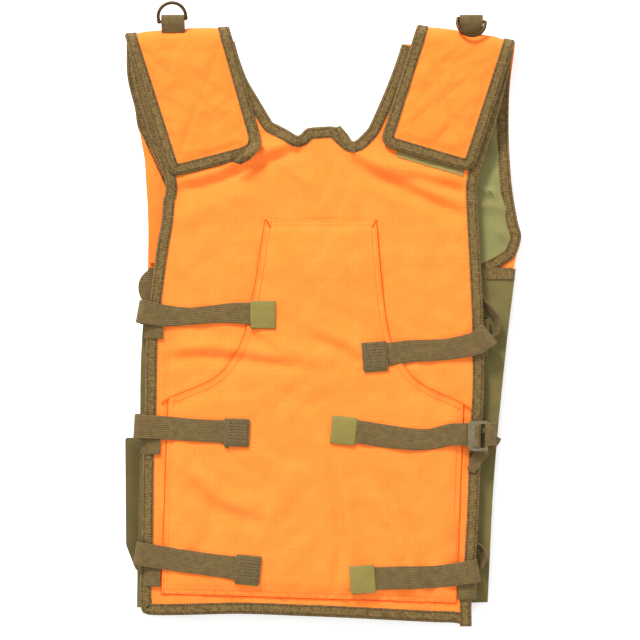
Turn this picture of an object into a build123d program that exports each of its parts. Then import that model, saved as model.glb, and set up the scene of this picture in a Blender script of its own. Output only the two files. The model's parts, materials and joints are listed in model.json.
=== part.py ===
"""Blaze orange field vest, lying flat with its front on the surface and its back up.

Frame: millimetres, +X to the right seen from above, +Y from the hem to the shoulders, +Z up out of the back.
The origin is the centre of the whole vest on the surface that it lies on.
Pattern pieces are drafted as (x, v): x from the centre line, v up from the lowest corner of the hem.
grade() sets them to the wanted size, and leans the lower body a little, as the vest lies.
"""
from build123d import *
import os
from math import atan2, degrees, hypot, radians, sin

# ---------------------------------------------------------------- overall size
WAIST_HALF = 187.5       # half the width of the back panel at the waist
BODY_LENGTH = 657.0      # lowest corner of the hem to the top of the shoulder fold
DRAFT_HALF = 187.5       # the half width and the length that the pattern points below are drafted at
DRAFT_LENGTH = 657.0
HEM_LEAN = 17.0          # how far the hem lies to the left of the shoulders' centre line
LEAN_FROM = 485.0        # the drafted height below which the body leans
SIDE_SHIFT = 0.24        # puts the origin midway between the two outermost points

# ---------------------------------------------------------------- cloth, tape and webbing
POCKET_DEPTH = 8.0       # front pockets, which the vest lies on
POCKET_CLOTH = 1.4
PANEL = 2.0              # front and chest panels
LINING = 1.0
TORSO_GAP = 10.5         # between the two linings when the vest lies flat
BACK = 2.5               # back panel
TAPE = 1.0               # one layer of binding tape
TAPE_WIDTH = 12.0        # how far the binding tape reaches over an edge
POUCH_INSIDE = 4.6
POUCH_CLOTH = 1.2
WEB = 1.6                # one layer of webbing
WEB_WIDTH = 25.4
LAY = 0.3                # the least gap between pieces that move against each other
PATCH = 1.0              # hook or loop tape
FLAP = 3.0               # padded shoulder flap
SHOULDER_WALL = 3.0

# ---------------------------------------------------------------- hardware
RING_WIRE = 3.8
RING_SPARE = 0.8         # how much wider than the webbing the ring is inside
RING_CORNER = 4.0        # straight length of each arm
RING_LIFT = 21.0         # how far above level a ring stops when it lies back on the shoulder
PIVOT_CLEAR = 0.25       # between a bar and the webbing round it
TAB_REACH = 12.6         # from the shoulder's fold to the ring's bar
LOCK_THICK = 3.2         # ladder lock
LOCK_RAIL = 3.3
LOCK_PITCH = 7.8         # between its two bars
LOCK_LENGTH = 20.0       # anchor bar to the tip of its tongue
LOCK_TONGUE = 6.0
LOCK_CORNER = 5.0
KEEPER_LENGTH = 29.0     # hook keeper on a strap's end
KEEPER_SPARE = 5.4       # how much wider than the webbing it is
KEEPER_WRAP = 1.3
TEETH_HALF = 3.2
TEETH_SLOT = 0.8
TEETH_THICK = 2.0
ZIP_TAPE = 0.8
ZIP_EDGE = 17.3          # centre line to the edge of the front panels
ZIP_LOW_V = 34.0
ZIP_TOP_V = 470.0
SLIDER_V = 452.0
SLIDER_LENGTH = 15.0
SLIDER_HALF = 5.2
SLIDER_PLATE = 1.3
SLIDER_POST = 0.5
PULL_LENGTH = 30.0
PULL_WIDTH = 7.0
PULL_THICK = 1.6
PULL_PIN = 0.8
PULL_EYE = 2.1

# ---------------------------------------------------------------- levels above the surface
Z_FRONT = POCKET_DEPTH
Z_LINING_TOP = Z_FRONT + PANEL + LINING
Z_TORSO_TOP = Z_LINING_TOP + TORSO_GAP
Z_BACK = Z_TORSO_TOP + LINING
Z_BACK_TOP = Z_BACK + BACK
Z_TAPE_TOP = Z_BACK_TOP + TAPE
Z_POUCH_TOP = Z_BACK_TOP + POUCH_INSIDE + POUCH_CLOTH
Z_TAIL = Z_POUCH_TOP + LAY + KEEPER_WRAP
Z_FLAP = Z_TAPE_TOP + TAPE + LAY + 0.1
Z_FLAP_TOP = Z_FLAP + FLAP
Z_HINGE = Z_FLAP_TOP + TAPE
Z_RING = Z_FLAP_TOP - 0.8
LOOP_IN = LOCK_THICK / 2 + PIVOT_CLEAR
LOOP_OUT = LOOP_IN + WEB
Z_HIDDEN_LOCK = Z_LINING_TOP + LOOP_OUT + 0.1
Z_TURN = Z_HIDDEN_LOCK + LOOP_OUT + 0.1
Z_OPEN_LOCK = Z_TAIL + LOOP_OUT

# ---------------------------------------------------------------- pattern points, drafted
FOLD_INNER = (104.0, 657.0)
FOLD_OUTER = (214.0, 642.0)
FLAP_INNER = (67.0, 530.0)
FLAP_OUTER = (163.0, 492.0)
TAB_X = 161.0
PEEL_SHARE = 0.21        # how far down from the fold the flap starts to peel
PEEL_GAP = 0.004
BACK_SHOULDER = [(94.0, 649.0), (203.0, 634.0)]
BACK_ARMHOLE = (177.0, 560.0)
BACK_EDGE = [(172.0, 490.0), (173.0, 450.0), (177.0, 415.0), (187.5, 320.0), (187.3, 250.0), (185.0, 170.0),
             (181.8, 90.0), (180.8, 50.0)]
NECK = [(64.0, 575.0), (30.0, 536.0), (0.0, 541.0)]
HEM_HALF = 180.0
HEM_LEFT_V = 13.0
FRONT_NECK_V = 480.0
SEAM_V = 392.0
SEAM_WIDTH = 13.0
FRONT_HEM_V = 20.0
DROP_FROM_V = 482.0      # the front comes down to the surface between these two heights
DROP_TO_V = 545.0
CHEST_EDGE = {
    "left": [(188.0, 392.0), (190.0, 450.0), (196.0, 520.0), (213.0, 641.0)],
    "right": [(214.0, 392.0), (218.0, 431.0), (208.0, 480.0), (206.0, 575.0), (213.0, 641.0)],
}
FRONT_EDGE = {
    "left": [(188.0, 392.0), (192.0, 300.0), (190.0, 200.0), (187.0, 20.0)],
    "right": [(214.0, 392.0), (204.0, 292.0), (196.0, 161.0), (194.0, 20.0)],
}
POCKET = {
    "left": [(42.0, 206.0), (207.0, 206.0), (202.0, 88.0), (190.0, 60.0), (42.0, 60.0)],
    "right": [(42.0, 206.0), (192.0, 206.0), (190.0, 88.0), (184.0, 60.0), (42.0, 60.0)],
}
POUCH_CURVE = [(60.0, 445.0), (70.0, 365.0), (79.0, 318.0), (93.0, 290.0), (113.0, 270.0), (159.0, 250.0)]
POUCH_SIDE = 159.0
POUCH_LOW_V = 38.0
POUCH_SEAM = 7.0

# each strap: its height where it comes round the side, then where the middle of its keeper lies
STRAPS = {
    "left_upper": (343.0, (-60.0, 341.0)),
    "left_middle": (218.0, (-84.0, 213.0)),
    "left_lower": (78.0, (-65.0, 66.0)),
    "right_upper": (321.0, (64.0, 296.0)),
    "right_middle": (210.0, (32.0, 216.0)),
    "right_lower": (64.0, (59.0, 54.0)),
}
OPEN_STRAP = "right_middle"
ROOT_DROP = 14.0         # how far below its strap each root is sewn on
ROOT_REACH = 17.0
ROOT_CLEAR = 1.6
PIVOT_IN = 6.0           # from the back's edge to where a strap's tail starts to lift
HIDDEN_LOCK_IN = 8.0     # from the back's edge to a hidden lock's anchor bar
BEND_OUT = 0.8           # the middle of a strap's bend, beyond the back's edge
OPEN_LOCK_OUT = 1.6      # the open lock's anchor bar, beyond the back's edge
OPEN_ANCHOR_OUT = 13.0


def side_sign(side):
    return -1.0 if side == "left" else 1.0


def share(low, high, t):
    return (low[0] + (high[0] - low[0]) * t, low[1] + (high[1] - low[1]) * t)


def fold_v(x):
    """Drafted height of the shoulder's fold at x."""
    return share(FOLD_INNER, FOLD_OUTER, (x - FOLD_INNER[0]) / (FOLD_OUTER[0] - FOLD_INNER[0]))[1]


RING_ARC = (WEB_WIDTH + RING_SPARE + RING_WIRE) / 2
RING_REACH = RING_CORNER + RING_ARC + RING_WIRE / 2
LENGTH_SCALE = BODY_LENGTH / DRAFT_LENGTH
WIDTH_SCALE = WAIST_HALF / DRAFT_HALF
HEM_Y = -(fold_v(TAB_X) * LENGTH_SCALE + TAB_REACH + RING_REACH) / 2


def grade(x, v):
    """A drafted point at the wanted size, in the vest's frame."""
    lean = HEM_LEAN * max(0.0, LEAN_FROM - v) / LEAN_FROM
    return ((x - lean + SIDE_SHIFT) * WIDTH_SCALE, HEM_Y + v * LENGTH_SCALE)


def pattern(points, side="right"):
    """Drafted points of the right half, or their mirror on the left half, at the wanted size."""
    return [grade(side_sign(side) * x, v) for x, v in points]


# ---------------------------------------------------------------- shape helpers
def outline(*edges):
    return make_face(Wire(edges))


def polygon(points):
    return make_face(Polyline(*points, close=True))


def inset(face, by):
    """A face drawn in by a distance, with its edges redrawn as plain lines and curves that meet exactly."""
    ring = offset(face, -by).face().outer_wire().order_edges()
    runs = [[edge @ (rank / 8) for rank in range(9)] for edge in ring]
    if (runs[0][-1] - runs[1][0]).length > 0.01 and (runs[0][-1] - runs[1][-1]).length > 0.01:
        runs[0].reverse()
    for before, run in zip(runs, runs[1:]):
        if (before[-1] - run[0]).length > 0.01:
            run.reverse()
        run[0] = before[-1]
    runs[-1][-1] = runs[0][0]
    straight = [edge.geom_type == GeomType.LINE for edge in ring]
    return outline(*[Line(run[0], run[-1]) if flat else Spline(*run) for run, flat in zip(runs, straight)])


def lay(face, low, high):
    """A flat piece between two levels."""
    return Pos(0, 0, low) * extrude(face, high - low)


def block(x0, x1, y0, y1, z0, z1):
    return Pos((x0 + x1) / 2, (y0 + y1) / 2, (z0 + z1) / 2) * Box(x1 - x0, y1 - y0, z1 - z0)


def draped(face, low, high):
    """A piece of the front, low to high above its underside, which drops to the surface at the shoulders."""
    start, end = HEM_Y - 50, -HEM_Y + 50
    drop_from, drop_to = grade(0, DROP_FROM_V)[1], grade(0, DROP_TO_V)[1]
    under = [(start, Z_FRONT + low), (drop_from, Z_FRONT + low), (drop_to, low), (end, low)]
    over = [(end, high), (drop_to, high), (drop_from, Z_FRONT + high), (start, Z_FRONT + high)]
    course = extrude(Plane.YZ * polygon(under + over), 2 * WAIST_HALF, both=True)
    return course & lay(face, -1, Z_TORSO_TOP)


def save(node, *shapes):
    """Writes one sub-part: one solid, or a group of separate ones."""
    solids = [solid for shape in shapes for solid in shape.solids()]
    made = solids[0] if len(solids) == 1 else Compound(children=solids)
    export_step(made, f"parts/{node}.step")


# ---------------------------------------------------------------- back
def back_face():
    """The whole back, out to the fold of its binding."""
    right, left = pattern(BACK_EDGE), pattern(BACK_EDGE, "left")
    top_r, top_l = pattern(BACK_SHOULDER), pattern(BACK_SHOULDER, "left")
    neck_r, neck_l = pattern(NECK[:2]), pattern(NECK[:2], "left")
    hem_r, hem_l = grade(HEM_HALF, 0.0), grade(-HEM_HALF, HEM_LEFT_V)
    return outline(
        Line(top_r[0], top_r[1]),
        ThreePointArc(top_r[1], grade(*BACK_ARMHOLE), right[0]),
        Spline(*right),
        Line(right[-1], hem_r),
        Line(hem_r, hem_l),
        Line(hem_l, left[-1]),
        Spline(*left[::-1]),
        ThreePointArc(left[0], grade(-BACK_ARMHOLE[0], BACK_ARMHOLE[1]), top_l[1]),
        Line(top_l[1], top_l[0]),
        Spline(top_l[0], *neck_l, grade(*NECK[2]), *neck_r[::-1], top_r[0]),
    )


def edge_binding(face):
    """Tape folded round the edge of the back: under it, up its edge and over it."""
    core = inset(face, TAPE)
    band = face - inset(face, TAPE_WIDTH)
    under = lay(band, Z_TORSO_TOP - TAPE, Z_TORSO_TOP)
    over = lay(band, Z_BACK_TOP, Z_TAPE_TOP)
    return under + lay(face - core, Z_TORSO_TOP, Z_BACK_TOP) + over


def make_back():
    face = back_face()
    core = inset(face, TAPE)
    save("back_lining", lay(core, Z_TORSO_TOP, Z_BACK))
    save("back_panel", lay(core, Z_BACK, Z_BACK_TOP))
    binding = edge_binding(face)
    tall = (Z_TORSO_TOP - 5, Z_TAPE_TOP + 5)
    neck = lay(polygon([grade(-97, 700), grade(-97, 622), grade(-40, 515), grade(40, 515), grade(97, 622),
                        grade(97, 700)]), *tall)
    hem = lay(polygon([grade(-230, -40), grade(230, -40), grade(230, 12), grade(-230, 25)]), *tall)
    right_side = [(110, 18), (230, 18), (230, 622), (184, 622), (110, 480)]
    right = lay(polygon(pattern(right_side)), *tall)
    left = lay(polygon(pattern(right_side, "left")), *tall)
    save("neck_binding", binding & neck)
    save("hem_binding", binding & hem)
    save("side_binding_right", (binding & right) - hem)
    save("side_binding_left", (binding & left) - hem)


def pouch_face():
    right, left = pattern(POUCH_CURVE), pattern(POUCH_CURVE, "left")
    low_r, low_l = grade(POUCH_SIDE, POUCH_LOW_V), grade(-POUCH_SIDE, POUCH_LOW_V)
    return outline(
        Line(left[0], right[0]),
        Spline(*right),
        Line(right[-1], low_r),
        Line(low_r, low_l),
        Line(low_l, left[-1]),
        Spline(*left[::-1]),
    )


def make_pouch():
    """Sewn down along its top, its bottom and its lower sides, and open along both curves."""
    face = pouch_face()
    top_v = POUCH_CURVE[0][1]
    seams = [
        [(-70, top_v), (70, top_v), (70, top_v - POUCH_SEAM), (-70, top_v - POUCH_SEAM)],
        [(-230, POUCH_LOW_V), (230, POUCH_LOW_V),
         (230, POUCH_LOW_V + POUCH_SEAM), (-230, POUCH_LOW_V + POUCH_SEAM)],
    ]
    side = [(POUCH_SIDE - POUCH_SEAM, 245.0), (POUCH_SIDE + 9, 245.0), (POUCH_SIDE + 9, 20.0),
            (POUCH_SIDE - POUCH_SEAM, 20.0)]
    walls = [polygon([grade(*point) for point in seam]) for seam in seams]
    walls += [polygon(pattern(side)), polygon(pattern(side, "left"))]
    pouch = lay(face, Z_POUCH_TOP - POUCH_CLOTH, Z_POUCH_TOP)
    for wall in walls:
        pouch += lay(face & wall, Z_BACK_TOP, Z_POUCH_TOP - POUCH_CLOTH)
    save("back_pouch", pouch)


# ---------------------------------------------------------------- shoulders
def flap_band(side, start, end):
    """The shoulder flap's outline between two shares of its length down from the fold."""
    inner = [share(FOLD_INNER, FLAP_INNER, t) for t in (start, end)]
    outer = [share(FOLD_OUTER, FLAP_OUTER, t) for t in (start, end)]
    return polygon(pattern([inner[0], outer[0], outer[1], inner[1]], side))


def fold_frame(side):
    """On the fold, midway across the ring's tab, with x along the fold and y away from the vest."""
    ends = sorted(pattern([FOLD_INNER, FOLD_OUTER], side))
    angle = degrees(atan2(ends[1][1] - ends[0][1], ends[1][0] - ends[0][0]))
    x, y = pattern([(TAB_X, fold_v(TAB_X))], side)[0]
    return Pos(x, y, 0) * Rot(0, 0, angle)


def make_shoulder(side):
    """The front's strap, coming up over the fold as far as the flap, and the loop field on the back."""
    wall_share = SHOULDER_WALL / (FOLD_INNER[1] - FLAP_INNER[1]) / LENGTH_SCALE
    wall = lay(flap_band(side, 0.0, wall_share), PANEL + LINING, Z_FLAP)
    save(f"shoulder_{side}", wall + lay(flap_band(side, 0.0, PEEL_SHARE), Z_FLAP, Z_FLAP_TOP))
    field = flap_band(side, 0.45, 1.12) & inset(back_face(), TAPE_WIDTH + 0.2)
    save(f"shoulder_loop_{side}", lay(field, Z_BACK_TOP, Z_BACK_TOP + PATCH))


def make_flap(side):
    start = PEEL_SHARE + PEEL_GAP
    whole = flap_band(side, start, 1.0)
    longer = flap_band(side, start - 0.15, 1.0)
    core = whole & inset(longer, TAPE)
    band = whole - inset(longer, TAPE_WIDTH)
    binding = lay(band, Z_FLAP - TAPE, Z_FLAP) + lay(band, Z_FLAP_TOP, Z_HINGE)
    binding += lay(whole - core, Z_FLAP, Z_FLAP_TOP)
    save(f"flap_{side}", lay(core, Z_FLAP, Z_FLAP_TOP))
    save(f"flap_binding_{side}", binding)
    hook = flap_band(side, 0.55, 0.97) & inset(longer, TAPE_WIDTH + 0.3)
    save(f"flap_hook_{side}", lay(hook, Z_FLAP - PATCH, Z_FLAP))


def ring_solid():
    """A D ring with its bar along x and its bow towards +y."""
    radius = RING_WIRE / 2
    low = (Align.CENTER, Align.MIN, Align.CENTER)
    ring = Pos(0, RING_CORNER, 0) * Torus(RING_ARC, radius, major_angle=180, align=low)
    ring += Rot(0, 90, 0) * Cylinder(radius, 2 * RING_ARC)
    for x in (-RING_ARC, RING_ARC):
        ring += Pos(x, RING_CORNER / 2, 0) * Rot(90, 0, 0) * Cylinder(radius, RING_CORNER)
        ring += Pos(x, 0, 0) * Sphere(radius)
    return ring


def make_ring(side, turned):
    frame = fold_frame(side)
    eye_in = RING_WIRE / 2 + PIVOT_CLEAR
    eye = Circle(eye_in + WEB) + Pos(-TAB_REACH / 2, 0) * Rectangle(TAB_REACH, 2 * WEB)
    eye -= Circle(eye_in)
    tab = extrude(Plane.YZ * eye, WEB_WIDTH / 2, both=True)
    save(f"ring_tab_{side}", frame * Pos(0, TAB_REACH, Z_RING) * tab)
    save(f"ring_{side}", frame * Pos(0, TAB_REACH, Z_RING) * Rot(turned, 0, 0) * ring_solid())


# ---------------------------------------------------------------- front
def zip_x(x):
    """A distance from the closed zip's line, which runs straight up from the hem."""
    return grade(0, (ZIP_LOW_V + ZIP_TOP_V) / 2)[0] + x


def zip_edge(side, v):
    """The front's edge along the zip at a height."""
    return (zip_x(side_sign(side) * ZIP_EDGE), grade(0, v)[1])


def chest_face(side):
    outer = pattern(CHEST_EDGE[side], side)
    fold = pattern([FOLD_OUTER, FOLD_INNER], side)
    neck = [zip_edge(side, FRONT_NECK_V), zip_edge(side, SEAM_V)]
    return outline(
        Line(neck[1], outer[0]),
        Spline(*outer),
        Line(outer[-1], fold[0]),
        Line(fold[0], fold[1]),
        ThreePointArc(fold[1], pattern([(52.0, 540.0)], side)[0], neck[0]),
        Line(neck[0], neck[1]),
    )


def front_face(side):
    outer = pattern(FRONT_EDGE[side], side)
    inner = [zip_edge(side, FRONT_HEM_V), zip_edge(side, SEAM_V)]
    return outline(Line(inner[1], outer[0]), Spline(*outer), Line(outer[-1], inner[0]), Line(inner[0], inner[1]))


def make_front(side):
    chest, front = chest_face(side), front_face(side)
    edge = chest & polygon(pattern([(150, SEAM_V + 16), (260, SEAM_V + 16), (260, 620), (150, 620)], side))
    core = inset(chest, TAPE)
    hem_edge = edge - core
    band = edge - inset(chest, TAPE_WIDTH)
    seam = [(ZIP_EDGE + 12, SEAM_V - SEAM_WIDTH / 2), (184, SEAM_V - SEAM_WIDTH / 2),
            (184, SEAM_V + SEAM_WIDTH / 2), (ZIP_EDGE + 12, SEAM_V + SEAM_WIDTH / 2)]
    sheet = chest - hem_edge
    save(f"chest_panel_{side}", draped(sheet, 0, PANEL))
    save(f"front_panel_{side}", draped(front, 0, PANEL))
    save(f"front_lining_{side}", draped(sheet, PANEL, PANEL + LINING) + draped(front, PANEL, PANEL + LINING))
    save(f"armhole_binding_{side}",
         draped(hem_edge, 0, PANEL + LINING) + draped(band, PANEL + LINING, PANEL + LINING + TAPE))
    save(f"seam_tape_{side}", lay(polygon(pattern(seam, side)), Z_FRONT - TAPE, Z_FRONT))


def make_pocket(side):
    """A pocket open towards the shoulders, sewn to the front along its other edges."""
    points = pattern(POCKET[side], side)
    face = polygon(points)
    longer = polygon([(x, y + 30) if rank < 2 else (x, y) for rank, (x, y) in enumerate(points)])
    wall = face - inset(longer, POCKET_CLOTH)
    save(f"pocket_{side}", lay(face, 0, POCKET_CLOTH) + lay(wall, POCKET_CLOTH, POCKET_DEPTH))


# ---------------------------------------------------------------- zip
def make_zip():
    low, top = grade(0, ZIP_LOW_V)[1], grade(0, ZIP_TOP_V)[1]
    middle = Z_FRONT + TEETH_THICK / 2
    for side in ("left", "right"):
        sign = side_sign(side)
        rows = sorted((zip_x(sign * TEETH_SLOT), zip_x(sign * TEETH_HALF)))
        save(f"zip_teeth_{side}", block(*rows, low, top, Z_FRONT, Z_FRONT + TEETH_THICK))
        tape = [(zip_x(sign * TEETH_HALF), low), (zip_x(sign * TEETH_HALF), top),
                zip_edge(side, ZIP_TOP_V), zip_edge(side, ZIP_LOW_V)]
        save(f"zip_tape_{side}", lay(polygon(tape), middle - ZIP_TAPE / 2, middle + ZIP_TAPE / 2))
    y = grade(0, SLIDER_V)[1]
    under = Z_FRONT - LAY - SLIDER_PLATE
    slider = block(zip_x(-SLIDER_HALF), zip_x(SLIDER_HALF), y, y + SLIDER_LENGTH, under, Z_FRONT - LAY)
    over = Z_FRONT + TEETH_THICK + LAY
    slider += block(zip_x(-SLIDER_HALF), zip_x(SLIDER_HALF), y, y + SLIDER_LENGTH, over, over + SLIDER_PLATE)
    slider += block(zip_x(-SLIDER_POST), zip_x(SLIDER_POST), y + SLIDER_LENGTH - 5, y + SLIDER_LENGTH,
                    Z_FRONT - LAY, over)
    ear_in, ear_out = PULL_WIDTH / 2 + LAY, SLIDER_HALF
    pin = Pos(zip_x(0), y + SLIDER_LENGTH / 2, under - PULL_EYE - LAY)
    for x in (-ear_out, ear_in):
        slider += block(zip_x(x), zip_x(x + ear_out - ear_in), y + 4, y + SLIDER_LENGTH - 4,
                        under - PULL_EYE - LAY - 1.6, under)
    slider += pin * Rot(0, 90, 0) * Cylinder(PULL_PIN, 2 * ear_in)
    save("zip_slider", slider)
    eye = Rot(0, 90, 0) * Cylinder(PULL_EYE, PULL_WIDTH)
    eye += block(-PULL_WIDTH / 2, PULL_WIDTH / 2, -PULL_LENGTH, 0, -PULL_THICK / 2, PULL_THICK / 2)
    eye -= Rot(0, 90, 0) * Cylinder(PULL_PIN + PIVOT_CLEAR, 2 * PULL_WIDTH)
    save("zip_pull", pin * eye)


# ---------------------------------------------------------------- side straps
def side_edge(side, v):
    """Drafted distance of the back's edge from the centre line at a height."""
    points = [BACK_EDGE[0], *BACK_EDGE[1:], (HEM_HALF, 0.0)]
    for high, low in zip(points, points[1:]):
        if high[1] >= v >= low[1]:
            return share(low, high, (v - low[1]) / (high[1] - low[1]))[0]
    return points[0][0]


def side_frame(name, drop=0.0):
    """On the back's edge at a strap: local x runs in over the back."""
    side = name.split("_")[0]
    v = STRAPS[name][0] - drop
    x, y = pattern([(side_edge(side, v), v)], side)[0]
    return Pos(x, y, 0) * Rot(0, 0, 0 if side == "left" else 180)


def tail_course(name):
    """A tail's start in its side's frame, its length to the keeper's middle and its turn in degrees."""
    frame = side_frame(name)
    start = frame * Pos(PIVOT_IN, 0, 0)
    x, y = grade(*STRAPS[name][1])
    run, rise = x - start.position.X, y - start.position.Y
    if name.startswith("right"):
        run, rise = -run, -rise
    return hypot(run, rise), degrees(atan2(rise, run))


def webbing(profile, width=WEB_WIDTH):
    """A profile drawn in local x and z, as wide as the webbing."""
    return extrude(Plane.XZ * profile, width / 2, both=True)


def ladder_lock():
    """A ladder lock with its anchor bar on the local y axis and its tongue towards +x."""
    radius = LOCK_THICK / 2
    rail_in = WEB_WIDTH / 2 + LAY
    half = rail_in + LOCK_RAIL
    body = block(-radius, LOCK_LENGTH, -half, half, -radius, radius)
    tip = body.edges().filter_by(Axis.Z).group_by(Axis.X)[-1]
    body = fillet(tip, LOCK_CORNER)
    body -= block(-radius, LOCK_LENGTH - LOCK_TONGUE, -rail_in, rail_in, -radius, radius)
    for x in (0, LOCK_PITCH):
        body += Pos(x, 0, 0) * Rot(90, 0, 0) * Cylinder(radius, 2 * rail_in)
    return body


def keeper(length):
    """The hook keeper on a tail that ends inside it."""
    half = (WEB_WIDTH + KEEPER_SPARE) / 2
    x0, x1 = length - KEEPER_LENGTH / 2, length + KEEPER_LENGTH / 2
    return block(x0, x1, -half, half, Z_TAIL - KEEPER_WRAP, Z_TAIL + WEB + KEEPER_WRAP)


def make_folded_strap(name):
    """A strap whose lock hangs inside the side gap, so that its tail comes up round the back's edge."""
    frame = side_frame(name)
    length, turn = tail_course(name)
    start = LAY + 0.2 + WEB_WIDTH / 2 * sin(radians(abs(turn)))
    finish = length + KEEPER_LENGTH / 2 - KEEPER_WRAP
    tail = block(start, finish, -WEB_WIDTH / 2, WEB_WIDTH / 2, Z_TAIL, Z_TAIL + WEB)
    lie = frame * Pos(PIVOT_IN, 0, 0) * Rot(0, 0, turn)
    save(f"tail_{name}", lie * tail)
    save(f"keeper_{name}", lie * (keeper(length) - tail))
    inner = (Z_TAIL - Z_TURN - WEB) / 2
    middle = (Z_TAIL + Z_TURN + WEB) / 2
    bar = HIDDEN_LOCK_IN + LOCK_PITCH
    half_disc = Pos(-50 - BEND_OUT, middle) * Rectangle(100, 200)
    bend = (Pos(-BEND_OUT, middle) * (Circle(inner + WEB) - Circle(inner))) & half_disc
    legs = Pos((PIVOT_IN - BEND_OUT) / 2, Z_TAIL + WEB / 2) * Rectangle(PIVOT_IN + BEND_OUT, WEB)
    legs += Pos((bar - BEND_OUT) / 2, Z_TURN + WEB / 2) * Rectangle(bar + BEND_OUT, WEB)
    legs += Pos(bar, (Z_TURN + Z_HIDDEN_LOCK) / 2 + WEB) * Rectangle(WEB, Z_TURN - Z_HIDDEN_LOCK)
    eye = Pos(bar, Z_HIDDEN_LOCK) * (Circle(LOOP_OUT) - Circle(LOOP_IN))
    turned = webbing(bend + legs + eye)
    ladder = Pos(HIDDEN_LOCK_IN, 0, Z_HIDDEN_LOCK) * ladder_lock()
    foot = HIDDEN_LOCK_IN - 2
    hold = Pos(foot / 2, Z_HIDDEN_LOCK) * Rectangle(HIDDEN_LOCK_IN * 2 - foot, 2 * WEB)
    hold += Pos(HIDDEN_LOCK_IN, Z_HIDDEN_LOCK) * Circle(LOOP_OUT)
    foot_top = Z_HIDDEN_LOCK + WEB
    hold += Pos(0, (foot_top + Z_LINING_TOP) / 2) * Rectangle(4, foot_top - Z_LINING_TOP)
    hold -= Pos(HIDDEN_LOCK_IN, Z_HIDDEN_LOCK) * Circle(LOOP_IN)
    return frame * turned, frame * ladder, frame * webbing(hold)


def make_open_strap(name):
    """The strap whose lock lies on the back, held by webbing that comes round the side from the front."""
    frame = side_frame(name) * Pos(-OPEN_LOCK_OUT, 0, 0)
    length, turn = tail_course(name)
    length += OPEN_LOCK_OUT + PIVOT_IN
    end = length + KEEPER_LENGTH / 2 - KEEPER_WRAP
    eye = Pos(LOCK_PITCH, Z_OPEN_LOCK) * Circle(LOOP_OUT)
    eye += Pos((LOCK_PITCH + end) / 2, Z_TAIL + WEB / 2) * Rectangle(end - LOCK_PITCH, WEB)
    eye -= Pos(LOCK_PITCH, Z_OPEN_LOCK) * Circle(LOOP_IN)
    tail = webbing(eye)
    save(f"tail_{name}", frame * tail)
    save(f"keeper_{name}", frame * (keeper(length) - tail))
    save(f"lock_{name}", frame * Pos(0, 0, Z_OPEN_LOCK) * ladder_lock())
    hold = Circle(LOOP_OUT) + Pos(-OPEN_ANCHOR_OUT / 2, 0) * Rectangle(OPEN_ANCHOR_OUT, 2 * WEB)
    hold -= Circle(LOOP_IN)
    hold = Pos(0, Z_OPEN_LOCK) * hold
    drop = Z_OPEN_LOCK + WEB - Z_LINING_TOP
    hold += Pos(-OPEN_ANCHOR_OUT - WEB, Z_LINING_TOP + drop / 2) * Rectangle(2 * WEB, drop)
    hold += Pos(-OPEN_ANCHOR_OUT / 2, Z_LINING_TOP + WEB / 2) * Rectangle(OPEN_ANCHOR_OUT, WEB)
    return frame * webbing(hold)


def strap_root(name):
    """Webbing sewn over the back's binding, turning down round its edge."""
    over = block(-ROOT_CLEAR - WEB, ROOT_REACH, -WEB_WIDTH / 2, WEB_WIDTH / 2, Z_TAPE_TOP, Z_TAPE_TOP + WEB)
    down = block(-ROOT_CLEAR - WEB, -ROOT_CLEAR, -WEB_WIDTH / 2, WEB_WIDTH / 2, Z_BACK - 0.5, Z_TAPE_TOP)
    return side_frame(name, ROOT_DROP) * (over + down)


def make_straps(side):
    names = [name for name in STRAPS if name.startswith(side)]
    folded = [make_folded_strap(name) for name in names if name != OPEN_STRAP]
    anchors = [parts[2] for parts in folded]
    anchors += [make_open_strap(name) for name in names if name == OPEN_STRAP]
    save(f"strap_turns_{side}", *[parts[0] for parts in folded])
    save(f"side_locks_{side}", *[parts[1] for parts in folded])
    save(f"lock_anchors_{side}", *anchors)
    save(f"strap_roots_{side}", *[strap_root(name) for name in names])


def main():
    os.makedirs("parts", exist_ok=True)
    make_back()
    make_pouch()
    make_zip()
    for side in ("left", "right"):
        make_shoulder(side)
        make_flap(side)
        make_front(side)
        make_pocket(side)
        make_straps(side)
    make_ring("left", 0.0)
    make_ring("right", 180.0 - RING_LIFT)


if __name__ == "__main__":
    main()
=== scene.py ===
"""Looks of the blaze orange field vest: cloth, tapes, webbing, hardware and the plain studio round it.

In the vest's own frame +X is to the right seen from above, +Y from the hem to the shoulders and +Z up out of
the back.  Lines and levels are in millimetres, and pieces are made in metres.  Drafted points are (x, v), with
v up from the hem.
"""
import json
import logging
import math
from dataclasses import dataclass, field
from enum import Enum
from typing import Callable, Iterable, Sequence

import bpy
import numpy as np
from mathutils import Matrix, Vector
from mathutils.geometry import delaunay_2d_cdt

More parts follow.
